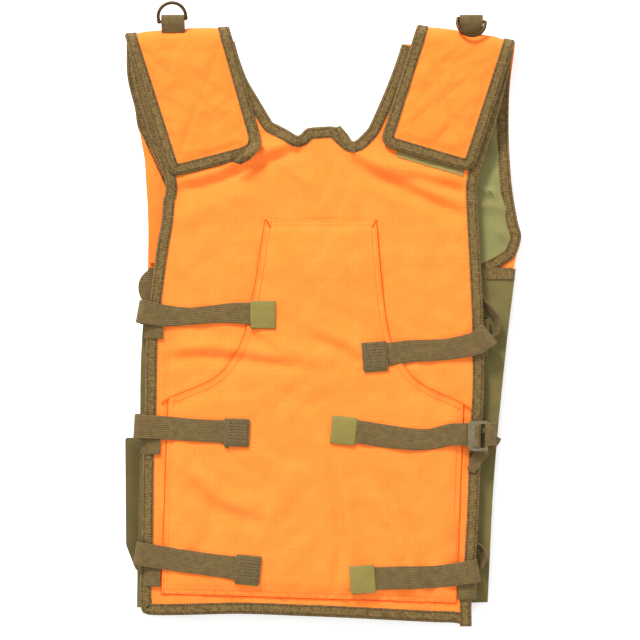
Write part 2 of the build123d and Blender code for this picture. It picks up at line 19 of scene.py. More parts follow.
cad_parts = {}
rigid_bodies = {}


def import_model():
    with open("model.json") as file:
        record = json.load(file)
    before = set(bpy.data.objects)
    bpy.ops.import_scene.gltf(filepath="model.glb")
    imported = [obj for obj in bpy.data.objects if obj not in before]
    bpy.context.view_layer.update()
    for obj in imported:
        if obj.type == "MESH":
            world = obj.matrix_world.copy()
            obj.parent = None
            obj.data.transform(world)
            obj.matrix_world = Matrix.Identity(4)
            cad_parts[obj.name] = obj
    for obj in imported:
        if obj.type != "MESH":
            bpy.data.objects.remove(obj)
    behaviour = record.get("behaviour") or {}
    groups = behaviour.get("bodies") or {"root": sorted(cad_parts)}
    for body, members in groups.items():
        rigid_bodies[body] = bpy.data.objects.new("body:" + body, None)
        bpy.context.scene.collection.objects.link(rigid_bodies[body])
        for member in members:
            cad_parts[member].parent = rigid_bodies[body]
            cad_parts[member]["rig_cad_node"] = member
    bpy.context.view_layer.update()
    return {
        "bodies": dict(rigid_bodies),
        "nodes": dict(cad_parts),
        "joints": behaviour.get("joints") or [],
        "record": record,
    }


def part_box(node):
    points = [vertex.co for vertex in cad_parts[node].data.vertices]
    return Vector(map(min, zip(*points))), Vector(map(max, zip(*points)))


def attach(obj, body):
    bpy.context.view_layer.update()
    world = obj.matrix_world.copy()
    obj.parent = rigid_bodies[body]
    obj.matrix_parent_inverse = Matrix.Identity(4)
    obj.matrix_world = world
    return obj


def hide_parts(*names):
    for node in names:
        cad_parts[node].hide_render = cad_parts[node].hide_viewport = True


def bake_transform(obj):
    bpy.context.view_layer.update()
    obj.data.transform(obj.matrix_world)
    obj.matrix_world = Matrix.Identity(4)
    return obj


LOG = logging.getLogger("field_vest")
MM = 0.001
Points = Sequence[tuple[float, float]]
Place = Callable[[np.ndarray, np.ndarray, np.ndarray], np.ndarray]
Height = Callable[[np.ndarray, np.ndarray], np.ndarray]


# ------------------------------------------------------------------ the pattern
class Side(Enum):
    """Which half of the vest a piece belongs to."""

    LEFT = -1.0
    RIGHT = 1.0

    @property
    def word(self) -> str:
        """The word that names the side in a piece's name."""
        return self.name.lower()


HEM_Y = -341.36
LEAN_FROM = 485.0
HEM_LEAN = 17.0
SHIFT = 0.24
BACK_EDGE = [(172.0, 490.0), (173.0, 450.0), (177.0, 415.0), (187.5, 320.0), (187.3, 250.0), (185.0, 170.0),
             (181.8, 90.0), (180.8, 50.0)]
CHEST_EDGE = {
    Side.LEFT: [(188.0, 392.0), (190.0, 450.0), (196.0, 520.0), (213.0, 641.0)],
    Side.RIGHT: [(214.0, 392.0), (218.0, 431.0), (208.0, 480.0), (206.0, 575.0), (213.0, 641.0)],
}
FRONT_EDGE = {
    Side.LEFT: [(188.0, 392.0), (192.0, 300.0), (190.0, 200.0), (187.0, 20.0)],
    Side.RIGHT: [(216.0, 392.0), (207.5, 292.0), (200.0, 161.0), (198.0, 26.0)],
}
POCKET = {
    Side.LEFT: [(42.0, 206.0), (207.0, 206.0), (202.0, 88.0), (190.0, 60.0), (42.0, 60.0)],
    Side.RIGHT: [(42.0, 206.0), (192.0, 206.0), (190.0, 88.0), (184.0, 60.0), (42.0, 60.0)],
}
POUCH_CURVE = [(60.0, 445.0), (70.0, 365.0), (79.0, 318.0), (93.0, 290.0), (113.0, 270.0), (159.0, 250.0)]
LIGHT = 2.1
ZIP_HALF = 17.3

# levels of the layers' middles above the ground
POCKET_LEVEL = 7.2
FRONT_LEVEL = 9.0
ZIP_LEVEL = 9.2
FACING_LEVEL = 10.7
FRONT_LINING_LEVEL = 10.8
TURNED_LEVEL = 12.6
SEAM_TAPE_LEVEL = 12.9
SIDE_LOOP_LEVEL = 16.0
BACK_LINING_LEVEL = 21.6
BACK_MID = 23.7
BACK_TOP = 25.0
LOOP_LEVEL = 25.6
NECK_TUCK_LEVEL = 26.6
HOOK_LEVEL = 27.0
FLAP_TUCK_LEVEL = 33.6
HINGE_LEVEL = 0.034      # of the straps' hinges, in metres

# tape, webbing and stitches
BINDING_REACH = 12.0     # how far binding tape reaches over an edge
BINDING_THICK = 0.9
BINDING_ROWS = (2.2, 10.2)
BINDING_THREAD = 0.36
WEB_THICK = 1.5
LOOSE_WEB_THICK = 1.3

# filling of the padded shoulders
FILL_FRAMES = 20
FILL_PRESSURE = 4.0
FILL_MOST = 0.0016       # the furthest that a point swells, in metres


def draft(x: float, v: float) -> tuple[float, float]:
    """A drafted point (x, v) in the vest's frame, in millimetres."""
    lean = HEM_LEAN * max(0.0, LEAN_FROM - v) / LEAN_FROM
    return (x - lean + SHIFT, HEM_Y + v)


def drafted(points: Points, side: Side = Side.RIGHT) -> list[tuple[float, float]]:
    """Drafted points of one side in the vest's frame, in millimetres."""
    return [draft(side.value * x, v) for x, v in points]


def flow(points: Points, step: float = 4.0) -> list[tuple[float, float]]:
    """A smooth line through points.

    Args:
        points: the points it passes, in millimetres.
        step: about how far apart its own points are.

    Returns:
        The line's points, both ends among them.
    """
    p = [np.array(q, float) for q in points]
    p = [2 * p[0] - p[1], *p, 2 * p[-1] - p[-2]]
    line = [p[1]]
    for a, b, c, d in zip(p, p[1:], p[2:], p[3:]):
        count = max(1, round(float(np.linalg.norm(c - b)) / step))
        for i in range(1, count + 1):
            t = i / count
            line.append(0.5 * (2 * b + (c - a) * t + (2 * a - 5 * b + 4 * c - d) * t * t
                               + (3 * b - a - 3 * c + d) * t ** 3))
    return [tuple(float(k) for k in q) for q in line]


def straight(points: Points, step: float = 4.0) -> list[tuple[float, float]]:
    """Straight runs from point to point, divided about every step millimetres."""
    line = [points[0]]
    for a, b in zip(points, points[1:]):
        count = max(1, round(math.dist(a, b) / step))
        line += [tuple(a[k] + (b[k] - a[k]) * i / count for k in range(len(a))) for i in range(1, count + 1)]
    return line


def rounded(corners: Points, radius: float, step: float = 3.0) -> list[tuple[float, float]]:
    """A closed outline with its corners rounded.

    Args:
        corners: the corners in turn, in millimetres.
        radius: how far from each corner the rounding starts.
        step: about how far apart the outline's points are.

    Returns:
        The outline's points, the first not repeated.
    """
    n, line = len(corners), []
    for i in range(n):
        line += corner_turn(corners[i - 1], corners[i], corners[(i + 1) % n], radius, 5)
    return divided(line, step)


def unit(vector: np.ndarray) -> np.ndarray:
    """The vector's direction, with a length of 1."""
    return vector / np.linalg.norm(vector)


def corner_turn(before: Sequence[float], corner: Sequence[float], after: Sequence[float], radius: float,
                count: int) -> list[tuple[float, float]]:
    """A corner between two others, rounded.

    Args:
        before: the corner before it.
        corner: the corner.
        after: the corner after it.
        radius: how far from the corner the rounding starts and ends.
        count: how many points it gets.

    Returns:
        The points.
    """
    a, b, c = (np.array(point, float) for point in (before, corner, after))
    start, end = b + unit(a - b) * radius, b + unit(c - b) * radius
    return [tuple((1 - t) ** 2 * start + 2 * t * (1 - t) * b + t * t * end) for t in np.linspace(0, 1, count)]


def divided(outline: Points, step: float) -> list[tuple[float, float]]:
    """A closed outline divided about every step millimetres, its first point not repeated."""
    return straight([*outline, outline[0]], step)[:-1]


def area_sign(outline: Points) -> float:
    """Twice the area inside an outline, positive where it turns left."""
    p = np.array(outline, float)
    q = np.roll(p, -1, axis=0)
    return float((p[:, 0] * q[:, 1] - q[:, 0] * p[:, 1]).sum())


def turned_left(outline: list) -> list:
    """The outline in the order that turns left."""
    return outline if area_sign(outline) > 0 else outline[::-1]


def area_of(outline: Points) -> float:
    """The area inside an outline, in square metres when it is in millimetres."""
    return abs(area_sign(outline)) / 2 * MM * MM


def length_of(line: Points) -> float:
    """The length of a line in metres, for points in millimetres."""
    return sum(math.dist(a, b) for a, b in zip(line, line[1:])) * MM


def path_length(path: np.ndarray) -> float:
    """The length of a path in space in metres, for points in millimetres."""
    return float(np.linalg.norm(np.diff(path, axis=0), axis=1).sum()) * MM


def run_along(line: np.ndarray) -> np.ndarray:
    """How far along a line each of its points lies."""
    return np.concatenate([[0], np.cumsum(np.linalg.norm(np.diff(line, axis=0), axis=1))])


def directions(line: np.ndarray) -> np.ndarray:
    """The line's direction at each of its points."""
    along = np.gradient(line, axis=0)
    return along / np.linalg.norm(along, axis=1)[:, None]


def distance(x: np.ndarray, y: np.ndarray, line: Points) -> np.ndarray:
    """How far each point lies from a line, in millimetres."""
    best = np.full(x.shape, 1e9)
    for (ax, ay), (bx, by) in zip(line, line[1:]):
        dx, dy = bx - ax, by - ay
        t = np.clip(((x - ax) * dx + (y - ay) * dy) / max(dx * dx + dy * dy, 1e-9), 0, 1)
        best = np.minimum(best, np.hypot(x - ax - t * dx, y - ay - t * dy))
    return best


def smooth(t: np.ndarray) -> np.ndarray:
    """An even step from 0 to 1."""
    t = np.clip(t, 0.0, 1.0)
    return t * t * (3 - 2 * t)


# ------------------------------------------------------------------ how the cloth lies
@dataclass(frozen=True)
class Fold:
    """A soft ridge, or with a negative height a hollow, along a line in the cloth, in millimetres."""

    line: tuple[tuple[float, float], ...]
    height: float
    width: float

    def lift(self, x: np.ndarray, y: np.ndarray) -> np.ndarray:
        """How far it lifts the cloth at each point."""
        (ax, ay), (bx, by) = self.line[0], self.line[-1]
        dx, dy = bx - ax, by - ay
        t = ((x - ax) * dx + (y - ay) * dy) / (dx * dx + dy * dy)
        ends = smooth((t + 0.12) / 0.35) * smooth((1.12 - t) / 0.35)
        near = distance(x, y, self.line)
        return self.height * np.exp(-(near / self.width) ** 2) * ends


@dataclass
class Drape:
    """The folds and the fine crumple of the back as it lies, in millimetres."""

    depth: float = 1.45
    folds: list[Fold] = field(default_factory=lambda: [
        Fold(((-170, 142), (-113, 156), (-82, 172), (-50, 182), (-16, 194)), 3.4, 9),
        Fold(((-164, 134), (-113, 146), (-82, 161), (-52, 170), (-16, 184)), -2.6, 6),
        Fold(((-166, 96), (-118, 120), (-70, 136)), 1.8, 13),
        Fold(((60, 172), (93, 160), (124, 153), (160, 145)), 2.8, 8),
        Fold(((88, 150), (112, 145), (134, 139), (158, 132)), -2.6, 6),
        Fold(((24, 184), (58, 164), (96, 146), (128, 130), (158, 121)), 3.0, 9),
        Fold(((24, 171), (58, 152), (90, 139), (124, 122), (157, 108)), -3.6, 7),
        Fold(((26, 158), (66, 140), (107, 119), (130, 105), (152, 90)), -1.8, 8),
        Fold(((164, -96), (161, -180), (156, -290)), -1.8, 5),
        Fold(((166, 60), (169, 20), (168, -8)), -1.6, 6),
        Fold(((-164, -20), (-166, -60), (-168, -96)), -1.6, 6),
        Fold(((28, 168), (66, 134), (107, 117), (130, 102), (152, 84)), 2.0, 7),
        Fold(((-36, 176), (-20, 150), (-4, 128)), 1.6, 10),
        Fold(((-26, 188), (-22, 168), (-14, 150)), -2.0, 5),
        Fold(((-176, -49), (-128, -45), (-90, -49), (-44, -54), (-6, -60)), -2.4, 6),
        Fold(((-176, -38), (-128, -34), (-90, -38), (-40, -43), (0, -50)), 2.6, 9),
        Fold(((-78, -24), (-52, -39), (-20, -50)), -2.0, 6),
        Fold(((-16, -24), (19, -37), (40, -50)), -1.8, 6),
        Fold(((-10, -16), (25, -28), (48, -42)), 1.6, 8),
        Fold(((-60, 60), (0, 50), (60, 62)), 1.2, 20),
        Fold(((-48, -86), (0, -98), (48, -96)), -1.4, 12),
        Fold(((6, -160), (17, -200), (22, -250), (12, -306)), -2.4, 5),
        Fold(((16, -160), (27, -200), (32, -250), (22, -306)), 2.2, 8),
        Fold(((-40, -170), (-52, -230), (-40, -300)), 1.6, 14),
        Fold(((52, -190), (84, -240), (112, -322)), 2.4, 8),
        Fold(((62, -180), (96, -238), (124, -312)), -2.2, 6),
        Fold(((-150, -160), (-110, -200), (-60, -216)), 2.0, 12),
        Fold(((-156, -172), (-112, -212), (-62, -228)), -1.6, 8),
        Fold(((-160, -300), (-120, -226), (-106, -180)), -1.4, 12),
        Fold(((96, -52), (110, -72), (136, -86)), 1.8, 8),
    ])

    def broad(self, x: np.ndarray, y: np.ndarray) -> np.ndarray:
        """The folds alone, which every layer of the back shares."""
        return self.depth * sum(f.lift(x, y) for f in self.folds) * smooth((186 - np.abs(x + 6)) / 30)

    def fine(self, x: np.ndarray, y: np.ndarray, size: float = 1.0) -> np.ndarray:
        """The small crumple of one layer, at most about half a millimetre times size."""
        u = x * 0.061 + 1.3 * np.sin(y * 0.037 + 0.6) + 0.7 * np.sin(x * 0.023 - y * 0.051)
        w = y * 0.057 + 1.1 * np.sin(x * 0.041 + 2.1) + 0.6 * np.sin(y * 0.019 + x * 0.033)
        return size * (0.26 * np.sin(u * 1.7 + w) + 0.2 * np.sin(w * 2.3 - u * 1.1 + 1.0)
                       + 0.12 * np.sin(3.9 * u + 1.7 * w) + 0.09 * np.sin(5.2 * w - 2.9 * u + 0.4))


DRAPE = Drape()


def on_back(level: float) -> Place:
    """Where a point of a layer of the back goes.

    Args:
        level: height of the layer's middle where the cloth lies flat, in millimetres.

    Returns:
        A function from x, y and height above the middle, in millimetres, to places in metres.
    """
    def place(x: np.ndarray, y: np.ndarray, h: np.ndarray) -> np.ndarray:
        """Places points of the layer."""
        return np.stack([x, y, level + DRAPE.broad(x, y) + h], axis=-1) * MM
    return place


def on_front(level: float) -> Place:
    """Where a point of a layer of the front goes, which comes down to the ground towards the shoulders.

    Args:
        level: height of the layer's middle over the lower front, in millimetres.

    Returns:
        A function from x, y and height above the middle, in millimetres, to places in metres.
    """
    def place(x: np.ndarray, y: np.ndarray, h: np.ndarray) -> np.ndarray:
        """Places points of the layer."""
        drop = 7.6 * smooth((y - 140.6) / 63.0)
        return np.stack([x, y, level - drop + h], axis=-1) * MM
    return place


# ------------------------------------------------------------------ making pieces
def deselect() -> None:
    """Leaves nothing selected."""
    for obj in bpy.context.view_layer.objects:
        obj.select_set(False)


def finish_piece(name: str, verts: np.ndarray, faces: list, uvs: np.ndarray | None = None,
                 angle: float = 50.0) -> bpy.types.Object:
    """Makes a piece from its points and faces.

    Args:
        name: the piece's name.
        verts: its points in metres.
        faces: its faces, pointing outwards.
        uvs: one pair in metres for each point, or None.
        angle: edges turned more than this, in degrees, stay sharp.

    Returns:
        The new object, in the scene.
    """
    mesh = bpy.data.meshes.new(name)
    mesh.from_pydata([tuple(map(float, v)) for v in verts], [], [tuple(map(int, f)) for f in faces])
    if uvs is not None:
        layer = mesh.uv_layers.new(name="cloth")
        index = np.zeros(len(mesh.loops), dtype=np.int32)
        mesh.loops.foreach_get("vertex_index", index)
        layer.data.foreach_set("uv", np.asarray(uvs, np.float32)[index].ravel())
    obj = bpy.data.objects.new(name, mesh)
    bpy.context.scene.collection.objects.link(obj)
    deselect()
    obj.select_set(True)
    bpy.context.view_layer.objects.active = obj
    bpy.ops.object.shade_smooth_by_angle(angle=math.radians(angle))
    return obj


def cut_cloth(name: str, outline: Points, place: Place, thick: float, puff: Height | None = None,
              step: float = 5.0) -> bpy.types.Object:
    """A layer of cloth cut to an outline, as a thin closed form.

    Args:
        name: the piece's name.
        outline: the outline in millimetres, without its first point repeated.
        place: how points of the flat cloth go to their places.
        thick: the cloth's thickness in millimetres.
        puff: how far the cloth stands up at each point, in millimetres.
        step: about how far apart its points are.

    Returns:
        The new object.
    """
    edge = np.array(outline, float)
    low, high = edge.min(axis=0), edge.max(axis=0)
    rows = []
    for j, y in enumerate(np.arange(low[1], high[1], step * 0.866)):
        x = np.arange(low[0] + (j % 2) * step / 2, high[0], step)
        rows.append(np.stack([x, np.full_like(x, y)], axis=1))
    inner = np.concatenate(rows)
    closed = [tuple(p) for p in edge] + [tuple(edge[0])]
    inner = inner[distance(inner[:, 0], inner[:, 1], closed) > step * 0.45]
    count = len(edge)
    every = [Vector(p) for p in edge] + [Vector(p) for p in inner]
    ring = [(i, (i + 1) % count) for i in range(count)]
    flat, _, tris, *_ = delaunay_2d_cdt(every, ring, [], 1, 1e-6)
    flat = np.array([(v.x, v.y) for v in flat])
    tris = np.array(tris)
    a, b, c = (flat[tris[:, k]] for k in range(3))
    turn = (b - a)[:, 0] * (c - a)[:, 1] - (b - a)[:, 1] * (c - a)[:, 0]
    tris[turn < 0] = tris[turn < 0][:, ::-1]
    n = len(flat)
    x, y = flat[:, 0], flat[:, 1]
    up = puff(x, y) if puff else np.zeros(n)
    top = place(x, y, thick / 2 + up)
    bottom = place(x, y, up - thick / 2)
    seen: dict[tuple[int, int], int] = {}
    for t in tris:
        for i in range(3):
            pair = (int(t[i]), int(t[(i + 1) % 3]))
            seen[pair] = seen.get(pair, 0) + 1
    walls = [(i, i + n, j + n, j) for i, j in seen if (j, i) not in seen]
    faces = [tuple(t) for t in tris] + [tuple(t[::-1] + n) for t in tris] + walls
    uvs = np.concatenate([flat, flat]) * MM
    return finish_piece(name, np.concatenate([top, bottom]), faces, uvs)


def sweep(name: str, rings: np.ndarray, uvs: np.ndarray) -> bpy.types.Object:
    """A piece swept through rings of points, with its ends closed.

    Args:
        name: the piece's name.
        rings: points as an array of ring by point by xyz, in metres, each ring turning left seen from ahead.
        uvs: a pair for every point, as an array of ring by point by 2.

    Returns:
        The new object.
    """
    count, around = rings.shape[:2]
    faces = []
    for i in range(count - 1):
        for j in range(around):
            k, m = (j + 1) % around, i + 1
            faces.append((i * around + j, i * around + k, m * around + k, m * around + j))
    faces.append(tuple(range(around))[::-1])
    faces.append(tuple((count - 1) * around + j for j in range(around)))
    return finish_piece(name, rings.reshape(-1, 3), faces, uvs.reshape(-1, 2), 55)


def bind_edge(name: str, line: Points, place: Place, half: float, inward: float) -> bpy.types.Object:
    """Binding tape folded over an edge.

    Args:
        name: the piece's name.
        line: the edge in millimetres.
        place: how points of the flat cloth go to their places.
        half: half the thickness of what the tape wraps.
        inward: 1 if the cloth lies to the left along the line, -1 if to the right.

    Returns:
        The new object.
    """
    p = np.array(line, float)
    along = directions(p)
    into = np.stack([-along[:, 1], along[:, 0]], axis=1) * inward
    width, o = BINDING_REACH, half + BINDING_THICK
    outer = [(width, -o + .25), (width - 1.0, -o), (width / 2, -o - .12), (1.2, -o), (-.2, -o * .72),
             (-.8, 0.0), (-.2, o * .72), (1.2, o), (width * .3, o + .15), (width * .7, o + .15),
             (width - 1.0, o), (width, o - .25)]
    shape = np.array([*outer, (width, half), (0.6, half), (0.6, -half), (width, -half)])
    if inward < 0:
        shape = shape[::-1]
    run = run_along(p)
    flat = p[:, None, :] + into[:, None, :] * shape[None, :, :1]
    h = np.broadcast_to(shape[None, :, 1], flat.shape[:2])
    rings = place(flat[..., 0], flat[..., 1], h)
    uvs = np.stack(np.broadcast_arrays(run[:, None], shape[None, :, 0]), axis=-1)
    return sweep(name, rings[:, ::-1], uvs[:, ::-1] * MM)


def web_strip(name: str, path: np.ndarray, across: np.ndarray, widths: np.ndarray,
              thick: float) -> bpy.types.Object:
    """A strip of webbing along a path in space.

    Args:
        name: the piece's name.
        path: the strip's middle line, in millimetres.
        across: the direction across the strip at each point.
        widths: its width at each point.
        thick: its thickness.

    Returns:
        The new object.
    """
    along = directions(path)
    across = across - (across * along).sum(axis=1)[:, None] * along
    across /= np.linalg.norm(across, axis=1)[:, None]
    up = np.cross(along, -across)
    below = [(-.5, -.3), (-.485, -.85), (-.46, -1), (-.2, -1), (.2, -1), (.46, -1), (.485, -.85), (.5, -.3)]
    s = np.array([*below, *[(-x, -z) for x, z in below]])
    rings = (path[:, None] + across[:, None] * (s[None, :, :1] * widths[:, None, None])
             + up[:, None] * (s[None, :, 1:] * (thick / 2)))
    uvs = np.stack(np.broadcast_arrays(run_along(path)[:, None], s[None, :, 0] * widths[:, None]), axis=-1)
    return sweep(name, rings[:, ::-1] * MM, uvs[:, ::-1] * MM)


@dataclass
class Needle:
    """Sews rows of stitches, each a copy of one small rounded stitch."""

    length: float = 2.3
    pitch: float = 3.4
    thread: float = 0.34

    def one(self) -> tuple[np.ndarray, list]:
        """Models one stitch along X, in millimetres.

        Returns:
            Its points and its faces.
        """
        deselect()
        bpy.ops.mesh.primitive_cylinder_add(vertices=6, radius=self.thread, depth=self.length)
        obj = bpy.context.object
        bpy.ops.object.mode_set(mode="EDIT")
        bpy.ops.mesh.select_all(action="DESELECT")
        bpy.ops.object.mode_set(mode="OBJECT")
        for face in obj.data.polygons:
            face.select = abs(face.normal.z) > 0.9
        bpy.ops.object.mode_set(mode="EDIT")
        bpy.ops.mesh.inset(thickness=self.thread * 0.45, depth=self.thread * 0.5, use_individual=True)
        bpy.ops.object.mode_set(mode="OBJECT")
        verts = np.array([tuple(v.co) for v in obj.data.vertices])[:, [2, 0, 1]]
        faces = [tuple(f.vertices) for f in obj.data.polygons]
        bpy.data.objects.remove(obj, do_unlink=True)
        return verts, faces

    def sew(self, name: str, rows: Iterable[Points], place: Place, lift: Height | float) -> bpy.types.Object:
        """Sews stitches along rows.

        Args:
            name: the piece's name.
            rows: the rows in millimetres.
            place: how points of the flat cloth go to their places.
            lift: height of the cloth's face above the middle of its layer.

        Returns:
            The new object.
        """
        verts, faces = self.one()
        every, all_faces, uvs = [], [], []
        for row in rows:
            p = np.array(row, float)
            run = run_along(p)
            at = np.arange(self.pitch / 2, run[-1], self.pitch)
            if not len(at):
                continue
            (x, y), (x2, y2), (x1, y1) = ([np.interp(at + by, run, p[:, k]) for k in (0, 1)]
                                          for by in (0, .5, -.5))
            turn = np.arctan2(y2 - y1, x2 - x1)
            for i in range(len(at)):
                c, s = math.cos(turn[i]), math.sin(turn[i])
                vx = x[i] + verts[:, 0] * c - verts[:, 1] * s
                vy = y[i] + verts[:, 0] * s + verts[:, 1] * c
                h = lift(vx, vy) if callable(lift) else lift
                drop = 0.12 * (verts[:, 0] / self.length * 2) ** 2
                base = len(every) * len(verts)
                every.append(place(vx, vy, h + verts[:, 2] - drop))
                all_faces += [tuple(base + k for k in f) for f in faces]
                uvs.append(np.stack([np.full(len(verts), at[i]), verts[:, 0]], axis=1) * MM)
        return finish_piece(name, np.concatenate(every), all_faces, np.concatenate(uvs), 80)


def beside(line: Points, gap: float) -> list[tuple[float, float]]:
    """The line moved to its left by gap, or to its right where gap is negative."""
    p = np.array(line, float)
    along = directions(p)
    return [tuple(q) for q in p + np.stack([-along[:, 1], along[:, 0]], axis=1) * gap]


def sew_binding(name: str, edge: Points, inward: float, place: Place, lift: float,
                pitch: float = 3.2) -> bpy.types.Object:
    """Sews the two rows of stitches along a binding tape.

    Args:
        name: the piece's name.
        edge: the bound edge in millimetres.
        inward: 1 if the cloth lies to the left along the edge, -1 if to the right.
        place: how points of the flat cloth go to their places.
        lift: height of the tape's face above the middle of its layer.
        pitch: from one stitch to the next.

    Returns:
        The new object.
    """
    rows = [beside(edge, inward * gap) for gap in BINDING_ROWS]
    return Needle(thread=BINDING_THREAD, length=1.9, pitch=pitch).sew(name, rows, place, lift)


# ------------------------------------------------------------------ finishes
class Board:
    """Places and joins the nodes of one material or shader group."""

    def __init__(self, tree: bpy.types.NodeTree) -> None:
        """Works on that node tree."""
        self.tree = tree

    def node(self, kind: str, **settings: object) -> bpy.types.Node:
        """Adds a node and sets its properties.

        Args:
            kind: the node's type.
            settings: the properties to set.

        Returns:
            The node.
        """
        made = self.tree.nodes.new(kind)
        for name, value in settings.items():
            setattr(made, name, value)
        return made

    def feed(self, socket: bpy.types.NodeSocket, value: object) -> None:
        """Gives an input a number, a colour or another node's output."""
        if isinstance(value, bpy.types.NodeSocket):
            self.tree.links.new(value, socket)
        else:
            socket.default_value = value

    def math(self, operation: str, a: object, b: object = 0.0, c: object = 0.5,
             clamp: bool = False) -> bpy.types.NodeSocket:
        """The result of one sum.

        Args:
            operation: what is done with the values.
            a: the first value.
            b: the second value.
            c: the third value, where the operation has one.
            clamp: whether the result is kept from 0 to 1.

        Returns:
            The result's output.
        """
        made = self.node("ShaderNodeMath", operation=operation, use_clamp=clamp)
        self.feed(made.inputs[0], a)
        self.feed(made.inputs[1], b)
        self.feed(made.inputs[2], c)
        return made.outputs[0]

    def mix(self, share: object, a: object, b: object) -> bpy.types.NodeSocket:
        """A colour between a and b, by share."""
        made = self.node("ShaderNodeMix", data_type="RGBA")
        self.feed(made.inputs[0], share)
        self.feed(made.inputs[6], a)
        self.feed(made.inputs[7], b)
        return made.outputs[2]

    def group(self, name: str, **values: object) -> bpy.types.Node:
        """Places a shared group with its own values."""
        made = self.node("ShaderNodeGroup", node_tree=bpy.data.node_groups[name])
        for key, value in values.items():
            self.feed(made.inputs[key], value)
        return made


def new_group(name: str, inputs: dict[str, str], outputs: Sequence[str]) -> tuple[Board, dict, dict]:
    """Starts a shared shader group.

    Args:
        name: the group's name.
        inputs: its inputs, each with its kind of socket.
        outputs: its outputs, all plain values.

    Returns:
        The group's board, its inputs' sockets and its outputs' sockets.
    """
    tree = bpy.data.node_groups.new(name, "ShaderNodeTree")
    for key, kind in inputs.items():
        tree.interface.new_socket(name=key, in_out="INPUT", socket_type=kind)
    for key in outputs:
        tree.interface.new_socket(name=key, in_out="OUTPUT", socket_type="NodeSocketFloat")
    board = Board(tree)
    start, end = board.node("NodeGroupInput"), board.node("NodeGroupOutput")
    return board, {k: start.outputs[k] for k in inputs}, {k: end.inputs[k] for k in outputs}


def make_groups() -> None:
    """Makes the shared effects: weave, ribs, check and mottle."""
    vector, value = "NodeSocketVector", "NodeSocketFloat"
    board, given, out = new_group("Weave", {"Vector": vector, "Threads": value}, ["Height"])
    part = board.node("ShaderNodeSeparateXYZ")
    board.feed(part.inputs[0], given["Vector"])
    turns = board.math("MULTIPLY", given["Threads"], math.pi)
    warp = board.math("SINE", board.math("MULTIPLY", part.outputs[0], turns))
    weft = board.math("SINE", board.math("MULTIPLY", part.outputs[1], turns))
    cross = board.math("MULTIPLY", warp, weft)
    board.feed(out["Height"], board.math("MULTIPLY_ADD", cross, 0.5, 0.5))

    board, given, out = new_group("Ribs", {"Position": value, "Count": value}, ["Height"])
    turns = board.math("MULTIPLY", given["Count"], 2 * math.pi)
    wave = board.math("SINE", board.math("MULTIPLY", given["Position"], turns))
    board.feed(out["Height"], board.math("POWER", board.math("ABSOLUTE", wave), 0.7))

    board, given, out = new_group("Check", {"Vector": vector, "Count": value, "Line": value}, ["Mask"])
    part = board.node("ShaderNodeSeparateXYZ")
    board.feed(part.inputs[0], given["Vector"])
    masks = []
    for axis in (0, 1):
        at = board.math("FRACT", board.math("MULTIPLY", part.outputs[axis], given["Count"]))
        masks.append(board.math("LESS_THAN", at, given["Line"]))
    board.feed(out["Mask"], board.math("MAXIMUM", *masks))

    board, given, out = new_group("Mottle", {"Vector": vector, "Size": value, "Contrast": value}, ["Value"])
    noise = board.node("ShaderNodeTexNoise")
    board.feed(noise.inputs["Vector"], given["Vector"])
    board.feed(noise.inputs["Scale"], board.math("DIVIDE", 1.0, given["Size"]))
    noise.inputs["Detail"].default_value = 5.0
    noise.inputs["Roughness"].default_value = 0.6
    spread = board.math("MULTIPLY", board.math("SUBTRACT", noise.outputs[0], 0.5), given["Contrast"])
    board.feed(out["Value"], board.math("ADD", spread, 0.5, clamp=True))


def colour(r: int, g: int, b: int) -> tuple[float, float, float, float]:
    """A colour as it looks in the studio's light, 0 to 255, as the shader's own linear colour."""
    return (*(((c / 255 + 0.055) / 1.055) ** 2.4 / LIGHT for c in (r, g, b)), 1.0)


def new_material(name: str) -> tuple[bpy.types.Material, Board, bpy.types.Node]:
    """Starts a material, and gives it with its board and its surface's shader."""
    material = bpy.data.materials.new(name)
    material.use_nodes = True
    board = Board(material.node_tree)
    return material, board, board.tree.nodes["Principled BSDF"]


class Texture(Enum):
    """How a cloth's face is made."""

    CHECK = "fine plain weave with a faint woven check"
    PLAIN = "plain weave"
    RIBBED = "ribs along the piece"
    RIBBED_ACROSS = "ribs across the piece"
    PILE = "short pile"


